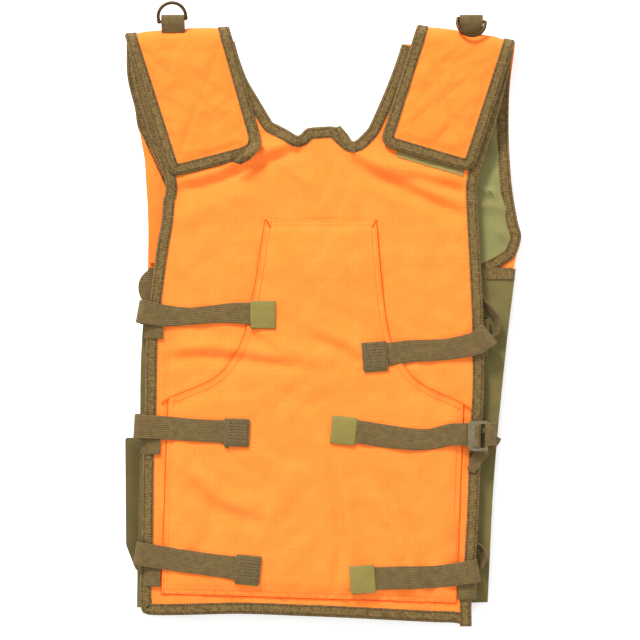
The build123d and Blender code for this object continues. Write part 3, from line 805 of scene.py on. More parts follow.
@dataclass(frozen=True)
class ClothFinish:
    """A woven finish."""

    name: str
    light: tuple[int, int, int]
    dark: tuple[int, int, int]
    texture: Texture
    threads: float = 900.0
    relief: float = 0.00022
    patch: float = 0.02
    contrast: float = 1.2
    crumple: float = 0.0
    rough: float = 0.9
    sheen: float = 0.04

    def make(self) -> bpy.types.Material:
        """Builds the finish as a material."""
        material, board, shader = new_material(self.name)
        uv = board.node("ShaderNodeUVMap", uv_map="cloth").outputs[0]
        place = board.node("ShaderNodeTexCoord").outputs["Object"]
        part = board.node("ShaderNodeSeparateXYZ")
        board.feed(part.inputs[0], uv)
        mottle = board.group("Mottle", Vector=place, Size=self.patch, Contrast=self.contrast).outputs[0]
        grain = board.group("Mottle", Vector=place, Size=0.0016, Contrast=1.6).outputs[0]
        ribbed = self.texture in (Texture.RIBBED, Texture.RIBBED_ACROSS)
        if ribbed:
            along = part.outputs[1 if self.texture is Texture.RIBBED else 0]
            face = board.group("Ribs", Position=along, Count=self.threads).outputs[0]
        elif self.texture is Texture.PILE:
            face = grain
        else:
            face = board.group("Weave", Vector=uv, Threads=self.threads).outputs[0]
        tone = board.math("ADD", board.math("MULTIPLY", mottle, 0.62), board.math("MULTIPLY", grain, 0.38))
        # Painted shade and highlight: the colour darkens in the hollows between the ribs and lightens on the
        # ribs' tops, following the ribs' height.
        if ribbed:
            tone = board.math("MULTIPLY", tone, board.math("MULTIPLY_ADD", face, 0.8, 0.5))
        shade = board.mix(tone, colour(*self.dark), colour(*self.light))
        if self.texture is Texture.CHECK:
            mask = board.group("Check", Vector=uv, Count=180.0, Line=0.15).outputs[0]
            shade = board.mix(board.math("MULTIPLY", mask, 0.34), shade, colour(*self.dark))
        board.feed(shader.inputs["Base Color"], shade)
        bump = board.node("ShaderNodeBump")
        bump.inputs["Distance"].default_value = self.relief
        grit = board.math("MULTIPLY", grain, 0.6)
        board.feed(bump.inputs["Height"], board.math("MULTIPLY_ADD", face, 0.7, grit))
        if self.crumple:
            wide = board.group("Mottle", Vector=place, Size=0.013, Contrast=1.3).outputs[0]
            second = board.node("ShaderNodeBump")
            second.inputs["Distance"].default_value = self.crumple
            board.feed(second.inputs["Height"], wide)
            board.feed(bump.inputs["Normal"], second.outputs[0])
        board.feed(shader.inputs["Normal"], bump.outputs[0])
        shader.inputs["Roughness"].default_value = self.rough
        shader.inputs["Specular IOR Level"].default_value = 0.16
        shader.inputs["Sheen Weight"].default_value = self.sheen
        shader.inputs["Sheen Roughness"].default_value = 0.5
        return material


@dataclass(frozen=True)
class HardFinish:
    """A metal or moulded finish with fine scratches and worn, darkened patches."""

    name: str
    light: tuple[int, int, int]
    dark: tuple[int, int, int]
    metal: float
    smooth: float
    worn: float

    def make(self) -> bpy.types.Material:
        """Builds the finish as a material."""
        material, board, shader = new_material(self.name)
        place = board.node("ShaderNodeTexCoord").outputs["Object"]
        patches = board.group("Mottle", Vector=place, Size=0.004, Contrast=2.2).outputs[0]
        fine = board.group("Mottle", Vector=place, Size=0.0007, Contrast=1.8).outputs[0]
        tone = board.math("ADD", board.math("MULTIPLY", patches, 0.7), board.math("MULTIPLY", fine, 0.3))
        board.feed(shader.inputs["Base Color"], board.mix(tone, colour(*self.dark), colour(*self.light)))
        span = board.math("MULTIPLY", tone, self.worn - self.smooth)
        board.feed(shader.inputs["Roughness"], board.math("ADD", span, self.smooth))
        bump = board.node("ShaderNodeBump")
        bump.inputs["Distance"].default_value = 0.00008
        board.feed(bump.inputs["Height"], fine)
        board.feed(shader.inputs["Normal"], bump.outputs[0])
        shader.inputs["Metallic"].default_value = self.metal
        return material


class Finishes(Enum):
    """Every finish of the vest, with the slot it belongs to."""

    ORANGE = (ClothFinish("blaze_cloth", (345, 196, 88), (345, 158, 50), Texture.CHECK, crumple=0.0008),
              "orange_cloth")
    ORANGE_DEEP = (ClothFinish("blaze_padded", (345, 182, 76), (345, 160, 52), Texture.CHECK, crumple=0.0006),
                   "orange_cloth")
    LINING = (ClothFinish("lining_weave", (192, 184, 118), (150, 144, 84), Texture.PLAIN, crumple=0.0007),
              "green_lining")
    KHAKI = (ClothFinish("khaki_weave", (160, 145, 88), (128, 114, 64), Texture.PLAIN, crumple=0.0007),
             "khaki_cloth")
    OLIVE = (ClothFinish("pocket_weave", (134, 118, 70), (106, 92, 50), Texture.PLAIN, crumple=0.0005),
             "olive_cloth")
    TAPE = (ClothFinish("edge_tape", (178, 146, 88), (92, 70, 34), Texture.RIBBED_ACROSS, threads=300.0,
                        relief=0.0004, patch=0.0034, contrast=2.8), "binding_tape")
    WEB = (ClothFinish("strap_webbing", (167, 140, 89), (98, 78, 42), Texture.RIBBED, threads=235.0,
                       relief=0.0005, patch=0.006, contrast=1.5), "webbing")
    HOOK = (ClothFinish("keeper_hook", (197, 182, 100), (161, 146, 74), Texture.PILE, relief=0.0006,
                        contrast=1.4), "keeper_cloth")
    BOXED = (ClothFinish("keeper_boxed", (166, 142, 96), (112, 92, 56), Texture.RIBBED_ACROSS, threads=360.0,
                         relief=0.0004, patch=0.005, contrast=1.8), "keeper_cloth")
    LOOP = (ClothFinish("loop_field", (214, 190, 112), (172, 148, 82), Texture.PILE, relief=0.0007),
            "hook_and_loop")
    THREAD = (ClothFinish("tape_thread", (90, 68, 42), (66, 50, 30), Texture.PLAIN), "binding_tape")
    ORANGE_THREAD = (ClothFinish("seam_thread", (330, 168, 74), (320, 148, 52), Texture.PLAIN), "orange_cloth")
    # painted shadow colour for the lines along the pouch's edges; the same deep orange is also the thread of
    # the pouch's corner tacks
    SEAM = (ClothFinish("seam_shade", (345, 134, 34), (345, 116, 28), Texture.PLAIN), "orange_cloth")
    ZIP_CLOTH = (ClothFinish("zip_weave", (92, 84, 56), (70, 62, 38), Texture.PLAIN), "zip_cloth")
    BRASS = (HardFinish("aged_brass", (134, 106, 62), (64, 48, 27), 1.0, 0.34, 0.6), "antique_brass")
    PLASTIC = (HardFinish("moulded_lock", (152, 138, 98), (122, 108, 72), 0.0, 0.38, 0.6), "lock_plastic")
    ZIP_METAL = (HardFinish("zip_alloy", (150, 138, 110), (84, 74, 54), 1.0, 0.3, 0.55), "zip_metal")

    def wear(self, *pieces: bpy.types.Object) -> None:
        """Puts this finish on pieces: into every slot they have, or into a new slot."""
        finish, slot = self.value
        material = bpy.data.materials.get(finish.name) or finish.make()
        for piece in pieces:
            if piece.data.materials:
                for i in range(len(piece.data.materials)):
                    piece.material_slots[i].material = material
            else:
                piece.data.materials.append(material)


def settle(piece: bpy.types.Object, body: str, finish: Finishes,
           nodes: Sequence[str] = ()) -> bpy.types.Object:
    """Gives a new piece its finish and its body, and hides the CAD nodes it stands for.

    Args:
        piece: the new piece.
        body: the body it moves with.
        finish: its finish.
        nodes: the CAD nodes it replaces.

    Returns:
        The piece.
    """
    finish.wear(piece)
    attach(piece, body)
    if nodes:
        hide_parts(*nodes)
    LOG.info("%s on %s, %d faces", piece.name, body, len(piece.data.polygons))
    return piece


def declare_cut(outline: Points) -> None:
    """Works out the flat size of a cut sheet's outline; nothing keeps the result."""
    p = np.array(outline, float)
    area_of(outline)


# ------------------------------------------------------------------ the back
@dataclass
class BackBody:
    """The back panel with its lining, game pouch, binding tapes and loop fields."""

    left_edge: Points = ((-211.0, 294.0), (-203.5, 250.0), (-190.0, 205.0), (-176.0, 165.0), (-170.2, 147.0),
                         (-170.0, 132.0), (-172.2, 127.0), (-174.2, 103.0), (-179.6, 71.0), (-187.0, 15.0),
                         (-191.0, -26.0), (-192.6, -107.0), (-195.0, -153.0), (-196.0, -244.0),
                         (-198.0, -298.0), (-197.5, -316.0))
    right_edge: Points = ((208.5, 290.0), (200.0, 250.0), (188.0, 206.0), (176.0, 170.0), (170.0, 146.0),
                          (169.0, 131.0), (171.4, 82.0), (174.0, 33.0), (175.6, -6.0), (176.4, -71.0),
                          (174.0, -125.0), (172.5, -158.0), (170.0, -224.0), (166.0, -289.0), (162.7, -311.0),
                          (162.7, -339.5))
    neck: Points = ((-96.0, 298.0), (-90.5, 278.0), (-82.0, 256.0), (-69.0, 234.0), (-57.0, 214.0),
                    (-54.0, 209.5), (-49.0, 207.0), (-36.0, 200.0), (-28.0, 195.0), (-23.5, 195.5),
                    (-17.0, 202.0), (-12.0, 203.5), (1.0, 204.5), (12.0, 204.8), (17.0, 202.5), (25.0, 195.0),
                    (32.0, 189.0), (37.5, 189.5), (46.0, 197.5), (53.5, 207.5), (70.0, 245.0), (80.0, 271.0),
                    (88.0, 295.0))
    hem: Points = ((-197.6, -311.0), (-196.6, -320.0), (-189.0, -326.4), (-150.0, -326.8), (-90.0, -325.5),
                   (-30.0, -327.5), (20.0, -329.5), (70.0, -332.0), (120.0, -334.5), (146.0, -335.5),
                   (163.0, -340.0))
    thick: float = 2.4

    def outline(self) -> list[tuple[float, float]]:
        """The back panel's outline, turning left."""
        hem = flow(self.hem, 5)
        right = flow(self.right_edge, 5)[::-1]
        left = flow(self.left_edge, 5)
        neck = flow(self.neck, 4)[::-1]
        return [*hem, *right[1:], *neck, *left[:-1]]

    def pouch_outline(self) -> tuple[list, list, list, list]:
        """The pouch's outline, turning left.

        Returns:
            The whole outline, its left curve, its right curve and the line that is sewn all round.
        """
        right = flow(drafted([*POUCH_CURVE[:-2], (115.0, 266.0), (162.0, 244.0)]), 4)
        left = flow(drafted(POUCH_CURVE, Side.LEFT), 4)
        low_right, low_left = draft(162, 28), draft(-159, 38)
        low = straight([low_left, low_right], 5)
        up = straight([low_right, right[-1]], 5)
        top = straight([right[0], left[0]], 5)
        down = straight([left[-1], low_left], 5)
        outline = [*low[:-1], *up[:-1], *right[::-1][:-1], *top[:-1], *left[:-1], *down[:-1]]
        sewn = [*down[:-1], *low[:-1], *up]
        return outline, left, right, sewn

    def pouch_lift(self, x: np.ndarray, y: np.ndarray) -> np.ndarray:
        """How far the pouch stands off the back panel at each point."""
        _, left, right, sewn = self.pouch_outline()
        top = [left[0], right[0]]
        near_sewn = np.minimum(distance(x, y, sewn), distance(x, y, top))
        near_open = np.minimum(distance(x, y, left), distance(x, y, right))
        body = 0.9 + 3.4 * smooth(near_sewn / 17)
        lip = 0.9 + 1.6 * smooth(near_sewn / 16)
        share = smooth(near_open / 26)
        pucker = 0.7 * np.sin(x * 0.62 + 1.4 * np.sin(x * 0.17)) * np.exp(-distance(x, y, sewn) / 8)
        ridge = 0.7 * np.exp(-((near_open - 9) / 2.2) ** 2)
        return lip * (1 - share) + body * share + pucker - ridge + 0.3

    def support(self, x: np.ndarray, y: np.ndarray) -> np.ndarray:
        """Height in millimetres of what a strap lies on."""
        outline, left, right, sewn = self.pouch_outline()
        inside = np.zeros(x.shape, bool)
        px, py = zip(*outline)
        for i in range(len(outline)):
            ax, ay, bx, by = px[i - 1], py[i - 1], px[i], py[i]
            crossing = (ay > y) != (by > y)
            with np.errstate(divide="ignore", invalid="ignore"):
                inside ^= crossing & (x < (bx - ax) * (y - ay) / (by - ay) + ax)
        return BACK_TOP + DRAPE.broad(x, y) + np.where(inside, self.pouch_lift(x, y) + 1.0, 0.6)

    def build(self) -> None:
        """Builds and dresses the back."""
        outline = self.outline()
        flat = on_back(BACK_MID)
        ring = [*outline, outline[0]]
        panel = cut_cloth("back_cloth", outline, flat, self.thick,
                          lambda x, y: DRAPE.fine(x, y, 1.4) * smooth((distance(x, y, ring) - 11) / 12), 4.2)
        settle(panel, "vest", Finishes.ORANGE, ["back_panel"])
        declare_cut(outline)
        lining = cut_cloth("back_lining_cloth", outline, on_back(BACK_LINING_LEVEL), 0.8, None, 4.2)
        settle(lining, "vest", Finishes.LINING, ["back_lining"])
        declare_cut(outline)
        self.build_pouch()
        self.build_tapes()
        self.build_tucks()

    def build_pouch(self) -> None:
        """Builds the game pouch with its hems and stitches, the painted shadow lines along its edges and its
        corner tacks.
        """
        outline, left, right, sewn = self.pouch_outline()
        place = on_back(BACK_TOP)
        lift = lambda x, y: self.pouch_lift(x, y) + DRAPE.fine(x + 40, y - 25, 1.6)
        pouch = cut_cloth("pouch_cloth", outline, place, 1.1, lift, 4.4)
        settle(pouch, "vest", Finishes.ORANGE, ["back_pouch"])
        declare_cut(outline)
        face = lambda x, y: lift(x, y) + 0.62
        top = [right[0], left[0]]
        rows = [beside(line, gap) for line, gap in ((left, 6), (right, -6), (left, 1.6), (right, -1.6),
                                                    (sewn, 1.8), (sewn, 5.4), (top, 2.0), (top, 5.6))]
        stitches = Needle(thread=0.3).sew("pouch_stitches", rows, place, face)
        settle(stitches, "vest", Finishes.ORANGE_THREAD)
        # Painted shadow: thin deep-orange cords along the pouch's open curves and sewn edges stand in for the
        # shadow in the gap under the pouch's edge.
        shadow_needle = Needle(length=3.4, pitch=3.0, thread=0.45)
        edges = shadow_needle.sew("pouch_edge_seams", [beside(left, -0.5), beside(right, 0.5), beside(sewn, -0.7)],
                           place, 0.7)
        settle(edges, "vest", Finishes.SEAM)
        ends = [(left[0], (4, -8)), (right[0], (-4, -8)), (left[-1], (-8, -5)), (right[-1], (8, -5))]
        tacks = []
        for (x, y), (dx, dy) in ends:
            tacks += [straight([(x + k, y), (x + k + dx, y + dy)], 2) for k in (0, 1.1)]
        tack = Needle(pitch=2.4, thread=0.4).sew("pouch_tacks", tacks, place, face)
        settle(tack, "vest", Finishes.SEAM)

    def build_tucks(self) -> None:
        """Builds the two bits of tape folded over themselves, at the neck and at the left flap's corner."""
        neck = [(15, 204), (20, 206), (28, 197), (36, 184), (36, 177), (31, 177), (25, 186), (18, 197)]
        flap = [(-97, 165), (-93, 169), (-84, 176), (-77, 187), (-69, 193), (-65, 188), (-69, 178), (-78, 168),
                (-88, 163)]
        for name, body, line, level in (("neck_tape_tuck", "vest", neck, NECK_TUCK_LEVEL),
                                        ("flap_tape_tuck", "flap_left", flap, FLAP_TUCK_LEVEL)):
            outline = turned_left(divided(line, 3))
            tuck = cut_cloth(name, outline, on_back(level), 1.0,
                             lambda x, y, o=outline: 0.9 * smooth(distance(x, y, [*o, o[0]]) / 4), 2.5)
            settle(tuck, body, Finishes.TAPE)
            declare_cut(outline)

    def build_tapes(self) -> None:
        """Builds the binding tapes round the neck, the hem and both sides, with their rows of stitches."""
        flat = on_back(BACK_MID)
        half = self.thick / 2
        edges = {
            "neck_tape": (flow(self.neck, 3), -1.0, "neck_binding", 0.1),
            "hem_tape": (flow(self.hem, 3)[:-2], 1.0, "hem_binding", 0.2),
            "side_tape_left": (flow(self.left_edge, 4), 1.0, "side_binding_left", 0.5),
            "side_tape_right": (flow(self.right_edge, 4), -1.0, "side_binding_right", 0.5),
        }
        for name, (line, inward, node, extra) in edges.items():
            tape = bind_edge(name, line, flat, half + extra, inward)
            settle(tape, "vest", Finishes.TAPE, [node])
            length_of(line)
            sewn = sew_binding(name + "_stitches", line, inward, flat, half + extra + 0.98)
            settle(sewn, "vest", Finishes.THREAD)


# ------------------------------------------------------------------ shoulders
@dataclass
class Shoulder:
    """One shoulder: the padded cloth over the fold that becomes the flap, its tapes and its ring tab."""

    side: Side
    corners: Points
    radius: float = 12.8
    top: float = 28.9
    thick: float = 2.6
    leg: float = 10.0

    def fold(self) -> tuple[np.ndarray, np.ndarray]:
        """A point on the fold and the direction out over it."""
        outer, inner = (np.array(c, float) for c in self.corners[:2])
        along = unit(inner - outer)
        out = np.array([-along[1], along[0]])
        return outer, out if out[1] > 0 else -out

    def place(self, x: np.ndarray, y: np.ndarray, h: np.ndarray) -> np.ndarray:
        """Places points of the flap's cloth, which is wrapped over the shoulder's fold."""
        start, out = self.fold()
        r = self.radius
        q = (x - start[0]) * out[0] + (y - start[1]) * out[1] + r
        turn = np.clip(q / r, 0, math.pi)
        under = np.maximum(q - math.pi * r, 0)
        reach = np.where(q > 0, r * np.sin(turn) - under, q) + h * np.sin(turn)
        z = self.top - r * (1 - np.cos(turn)) + h * np.cos(turn)
        shift = reach - q
        if self.side is Side.LEFT:
            z = z + 2.6 * smooth(1 - np.hypot(x + 66, y - 178) / 34)
        return np.stack([x + out[0] * shift, y + out[1] * shift, z], axis=-1) * MM

    def cut(self) -> list[tuple[float, float]]:
        """The flap's flat outline, from its wall's lowest edge outwards, the free end's corners rounded."""
        turns = (15.0, 25.0) if self.side is Side.LEFT else (15.0, 15.0)
        start, out = self.fold()
        outer, inner, low_inner, low_outer = (np.array(c, float) for c in self.corners)
        more = out * ((math.pi - 1) * self.radius + self.leg)
        corners = [tuple(outer + more), tuple(outer), tuple(low_outer), tuple(low_inner), tuple(inner),
                   tuple(inner + more)]
        line = [corners[0], corners[1]]
        for a, b, c, cut in zip(corners[1:], corners[2:4], corners[3:5], turns):
            line += corner_turn(a, b, c, cut, 7)
        line += [corners[4], corners[5]]
        return straight(line, 3.0)

    def cross(self) -> list[list[tuple[float, float]]]:
        """The two sewn lines that cross on the flap."""
        outer, inner, low_inner, low_outer = (np.array(c, float) for c in self.corners)
        mid = (outer + inner + low_inner + low_outer) / 4
        pull = lambda c: tuple(c + unit(mid - c) * 26)
        return [straight([pull(outer), pull(low_inner)], 3), straight([pull(inner), pull(low_outer)], 3)]

    def puff(self, x: np.ndarray, y: np.ndarray) -> np.ndarray:
        """How far the padded cloth stands up at each point."""
        edge = distance(x, y, self.cut())
        seams = np.minimum(*(distance(x, y, row) for row in self.cross()))
        groove = np.exp(-(seams / 2.4) ** 2)
        inside = smooth((edge - 12) / 12)
        return (1.5 + DRAPE.fine(x * 1.4, y * 1.4, 0.9)) * inside - 0.9 * groove * (edge > 12)

    def build(self) -> None:
        """Builds and dresses the shoulder."""
        word = self.side.word
        body = f"flap_{word}"
        outline = self.cut()
        sign = 1.0 if area_sign(outline) > 0 else -1.0
        flap = cut_cloth(f"shoulder_cloth_{word}", turned_left(outline), self.place, self.thick, self.puff,
                         4.0)
        Finishes.ORANGE_DEEP.wear(flap)
        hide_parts(f"flap_{word}", f"shoulder_{word}")
        self.fill(flap)
        tape = bind_edge(f"flap_tape_{word}", outline, self.place, self.thick / 2 + 0.1, sign)
        Finishes.TAPE.wear(tape)
        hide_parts(f"flap_binding_{word}")
        length_of(outline)
        sewn = sew_binding(f"flap_tape_stitches_{word}", outline, sign, self.place, self.thick / 2 + 1.12)
        Finishes.THREAD.wear(sewn)
        crossed = Needle(thread=0.32).sew(f"flap_stitches_{word}", self.cross(), self.place,
                                          lambda x, y: self.puff(x, y) + self.thick / 2 + 0.1)
        Finishes.ORANGE_THREAD.wear(crossed)
        start, out = self.fold()
        middle = (start + np.array(self.corners[1])) / 2
        first, last = (tuple((middle - out * d) * MM) + (0.030,) for d in (26.0, 40.0))
        for piece in (flap, tape, sewn, crossed):
            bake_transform(piece)
            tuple(first)
            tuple(last)
            LOG.info("%s between vest and %s", piece.name, body)
        self.build_patches()
        self.build_tab()

    def fill(self, flap: bpy.types.Object) -> None:
        """Lets the padding fill the flap: its edges and crossed seams hold, and the cloth between them swells.

        Args:
            flap: the flap's cloth, changed in place.
        """
        rest = np.array([tuple(v.co) for v in flap.data.vertices])
        uv = flap.data.uv_layers["cloth"].data
        flat = np.zeros((len(rest), 2))
        for loop, item in zip(flap.data.loops, uv):
            flat[loop.vertex_index] = tuple(item.uv)
        x, y = flat[:, 0] / MM, flat[:, 1] / MM
        start, out = self.fold()
        inward = -((x - start[0]) * out[0] + (y - start[1]) * out[1])
        seams = np.minimum(*(distance(x, y, row) for row in self.cross()))
        held = (distance(x, y, self.cut()) < 12.8) | (inward < 16) | (seams < 2.2)
        group = flap.vertex_groups.new(name="held")
        group.add([int(i) for i in np.nonzero(held)[0]], 1.0, "REPLACE")
        cloth = flap.modifiers.new("filling", "CLOTH")
        cloth.settings.quality = 4
        cloth.settings.use_pressure = True
        cloth.settings.uniform_pressure_force = FILL_PRESSURE
        cloth.settings.effector_weights.gravity = 0.0
        cloth.settings.vertex_group_mass = "held"
        cloth.settings.shrink_min = -0.02
        cloth.collision_settings.use_self_collision = False
        cloth.point_cache.frame_start, cloth.point_cache.frame_end = 1, FILL_FRAMES
        scene = bpy.context.scene
        for frame in range(1, FILL_FRAMES + 1):
            scene.frame_set(frame)
        shaped = flap.evaluated_get(bpy.context.evaluated_depsgraph_get()).data
        moved = np.array([tuple(v.co) for v in shaped.vertices]) - rest
        far = np.linalg.norm(moved, axis=1)[:, None]
        flap.modifiers.remove(cloth)
        moved *= np.minimum(1.0, FILL_MOST / np.maximum(far, 1e-9))
        flap.data.vertices.foreach_set("co", (rest + moved).astype(np.float32).ravel())
        flap.data.update()
        scene.frame_set(1)
        LOG.info("%s filled, at most %.1f mm", flap.name, float(far.max()) / MM)

    def build_patches(self) -> None:
        """Builds the hook tape under the flap and the loop field that it presses on."""
        word = self.side.word
        low_inner, low_outer = (np.array(c, float) for c in self.corners[2:])
        mid = (low_inner + low_outer) / 2
        across = unit(low_inner - low_outer)
        up = np.array([-across[1], across[0]])
        up = up if up[1] > 0 else -up
        span = np.linalg.norm(low_inner - low_outer)
        hook = [tuple(mid + across * a + up * b) for a, b in
                ((-span * .36, 16), (span * .36, 16), (span * .36, 46), (-span * .36, 46))]
        hook = turned_left(hook)
        patch = cut_cloth(f"flap_hook_{word}_cloth", divided(hook, 4),
                          lambda x, y, h: np.stack([x, y, HOOK_LEVEL + h], axis=-1) * MM, 0.9, None, 6)
        settle(patch, f"flap_{word}", Finishes.HOOK, [f"flap_hook_{word}"])
        declare_cut(hook)
        low = -7.0 if self.side is Side.RIGHT else 6.0
        field_line = [tuple(mid + across * a + up * b) for a, b in
                      ((-span * .42, low), (span * .30, low), (span * .36, 52), (-span * .36, 52))]
        field_line = turned_left(field_line)
        fuzzy = cut_cloth(f"loop_field_{word}", divided(field_line, 4), on_back(LOOP_LEVEL), 0.9,
                          DRAPE.fine, 5)
        settle(fuzzy, "vest", Finishes.LOOP, [f"shoulder_loop_{word}"])
        declare_cut(field_line)

    def build_tab(self) -> None:
        """Builds the webbing tab that holds the ring at the shoulder."""
        word = self.side.word
        low, high = (np.array(c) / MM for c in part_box(f"ring_tab_{word}"))
        x, bar, z = (low[0] + high[0]) / 2, high[1] - 2.9, high[2] - 2.9
        reach = 2.55
        turn = np.linspace(-math.pi / 2, math.pi / 2, 11)
        loop = [(x, bar + reach * math.cos(a), z + reach * math.sin(a)) for a in turn]
        under = [(x, low[1] + 1, z - 9.0), (x, bar - 12, z - 6.5), (x, bar - 6, z - 3.4)]
        over = [(x, bar - 6, z + 2.2), (x, bar - 12, z - .4), (x, low[1] + 1, z - 2.4)]
        path = np.array(straight([*under, *loop, *over], 1.5))
        tab = web_strip(f"ring_tab_{word}_web", path, np.tile([1.0, 0.0, 0.0], (len(path), 1)),
                        np.full(len(path), 25.2), WEB_THICK)
        settle(tab, "vest", Finishes.WEB, [f"ring_tab_{word}"])
        path_length(path)


# ------------------------------------------------------------------ the front
@dataclass
class FrontHalf:
    """One half of the front: chest, lower panel, lining, armhole tape, seam tape and bellows pocket."""

    side: Side

    def armhole(self) -> list[tuple[float, float]]:
        """The armhole's bound edge, from low down beside the back up to the shoulder."""
        if self.side is Side.LEFT:
            line = [(-158.0, 112.0), (-172.0, 141.0), (-187.0, 172.0), (-201.5, 205.0), (-205.5, 228.0),
                    (-213.6, 262.0), (-214.6, 299.0)]
        else:
            line = [(160.0, 34.5), (177.6, 44.0), (198.0, 54.5), (211.0, 64.0), (216.0, 75.0), (218.2, 88.0),
                    (213.8, 105.0), (207.6, 144.0), (205.4, 190.0), (205.6, 236.0), (208.4, 286.0),
                    (210.0, 299.0)]
        return flow(line, 3.5)

    def build(self) -> None:
        """Builds and dresses this half of the front."""
        side, word = self.side, self.side.word
        edge = flow(drafted(CHEST_EDGE[side], side), 5)
        zip_seam = draft(side.value * ZIP_HALF, 392)
        neck = flow(drafted([(ZIP_HALF, 480), (48, 520), (84, 590), (104, 645)], side), 6)
        chest = self.turned([*edge, *neck[::-1], zip_seam])
        low = flow(drafted(FRONT_EDGE[side], side), 6)
        lower = self.turned([*low, draft(side.value * ZIP_HALF, 20), zip_seam])
        for kind, outline, finish, under in (("chest", chest, Finishes.ORANGE, "seam_tape_{}_cloth"),
                                             ("front", lower, Finishes.KHAKI, "pocket_cloth_{}")):
            piece = cut_cloth(f"{kind}_cloth_{word}", outline, on_front(FRONT_LEVEL), 1.9,
                              lambda x, y: DRAPE.fine(x, y, 0.5), 7)
            settle(piece, "vest", finish, [f"{kind}_panel_{word}"])
            declare_cut(outline)
        self.build_inside(lower, neck, zip_seam)
        self.build_edges(zip_seam, edge[0])
        self.build_pocket()

    def creases(self, x: np.ndarray, y: np.ndarray) -> np.ndarray:
        """How far the inner face of the front is gathered up beside the back."""
        rows = [Fold(((160, 146), (180, 137), (192, 131)), 3.0, 3.2),
                Fold(((160, 140), (180, 131), (194, 125)), -1.6, 3),
                Fold(((166, 122), (190, 118), (204, 110)), 2.2, 3.6),
                Fold(((184, 140), (192, 124), (202, 114)), 2.2, 3),
                Fold(((190, 96), (198, 88), (206, 80)), 2.4, 3),
                Fold(((168, 20), (186, 6), (196, -10)), 3.0, 6),
                Fold(((176, 34), (184, 14), (180, -8)), -1.6, 4),
                Fold(((178, 208), (188, 190), (192, 170)), 1.4, 5),
                Fold(((180, -50), (186, -90), (180, -130)), 1.6, 5)]
        made = sum(f.lift(x, y) for f in rows) if self.side is Side.RIGHT else 0.0
        return made + DRAPE.fine(x * 1.5, y * 1.5, 1.2) + 0.6

    def build_inside(self, lower: list, neck: list, zip_seam: tuple[float, float]) -> None:
        """Builds the inner faces: the green lining of the chest and the khaki facing of the lower front.

        Args:
            lower: the lower panel's outline.
            neck: the front neck's edge.
            zip_seam: where the seam across meets the zip.
        """
        word = self.side.word
        green = self.turned([*self.armhole(), *neck[::-1], zip_seam])
        for kind, outline, level, finish, under in (
                ("lining", green, FRONT_LINING_LEVEL, Finishes.LINING, "chest_cloth"),
                ("facing", lower, FACING_LEVEL, Finishes.KHAKI, "front_cloth")):
            face = cut_cloth(f"front_{kind}_cloth_{word}", outline, on_front(level), 0.8, self.creases, 4.5)
            settle(face, "vest", finish, [f"front_lining_{word}"])
            declare_cut(outline)

    def turned(self, outline: list) -> list:
        """The outline divided and turning left."""
        return turned_left(divided(outline, 5))

    def build_edges(self, zip_seam: tuple[float, float], seam_out: tuple[float, float]) -> None:
        """Builds the armhole's binding and the tape over the seam across the front."""
        side, word = self.side, self.side.word
        inward = side.value
        edge = self.armhole()
        raised = 10.6 if side is Side.LEFT else 10.2
        tape = bind_edge(f"armhole_tape_{word}", edge, on_front(raised), 1.5, inward)
        settle(tape, "vest", Finishes.TAPE, [f"armhole_binding_{word}"])
        length_of(edge)
        sewn = sew_binding(f"armhole_stitches_{word}", edge, inward, on_front(raised), 2.5, 3.4)
        settle(sewn, "vest", Finishes.THREAD)
        if side is Side.LEFT:
            turned = self.turned([(-150.0, 57.0), (-189.5, 57.0), (-190.0, 105.0), (-194.5, 170.0),
                                  (-201.0, 204.0), (-190.0, 180.0), (-176.0, 150.0), (-160.0, 116.0)])
            strip = cut_cloth("chest_turned_left", turned, on_front(TURNED_LEVEL), 0.9,
                              lambda x, y: DRAPE.fine(x * 1.6, y * 1.6, 0.9) + 0.3, 4)
            settle(strip, "vest", Finishes.ORANGE_DEEP)
            declare_cut(turned)
            seam = flow([(-200.0, 186.0), (-188.0, 176.0), (-176.0, 152.0)], 3)
            row = Needle(thread=0.3).sew("chest_turned_stitches", [seam, beside(seam, 2.5)],
                                         on_front(TURNED_LEVEL),
                                         lambda x, y: DRAPE.fine(x * 1.6, y * 1.6, 0.9) + 0.85)
            settle(row, "vest", Finishes.ORANGE_THREAD)
        line = straight([zip_seam, (seam_out[0] - inward * 1.5, seam_out[1] + 1)], 5)
        band = self.turned([*line, *[(x, y - 12.5) for x, y in line[::-1]]])
        over = cut_cloth(f"seam_tape_{word}_cloth", band, on_front(SEAM_TAPE_LEVEL), 0.9, None, 6)
        settle(over, "vest", Finishes.TAPE, [f"seam_tape_{word}"])
        declare_cut(band)

    def build_pocket(self) -> None:
        """Builds the bellows pocket that the vest lies on."""
        side, word = self.side, self.side.word
        outline = self.turned(rounded(drafted(POCKET[side], side), 3.0))

        def puff(x: np.ndarray, y: np.ndarray) -> np.ndarray:
            """How far the pocket's cloth hangs below the front, its face near the ground."""
            near = distance(x, y, [*outline, outline[0]])
            return -2.5 * smooth(1 - near / 5) - 6.0 * smooth((near - 18) / 12) + 0.3 * DRAPE.fine(x, y) - 0.2

        pocket = cut_cloth(f"pocket_cloth_{word}", outline, on_front(POCKET_LEVEL), 1.0, puff, 5)
        settle(pocket, "vest", Finishes.OLIVE, [f"pocket_{word}"])
        declare_cut(outline)


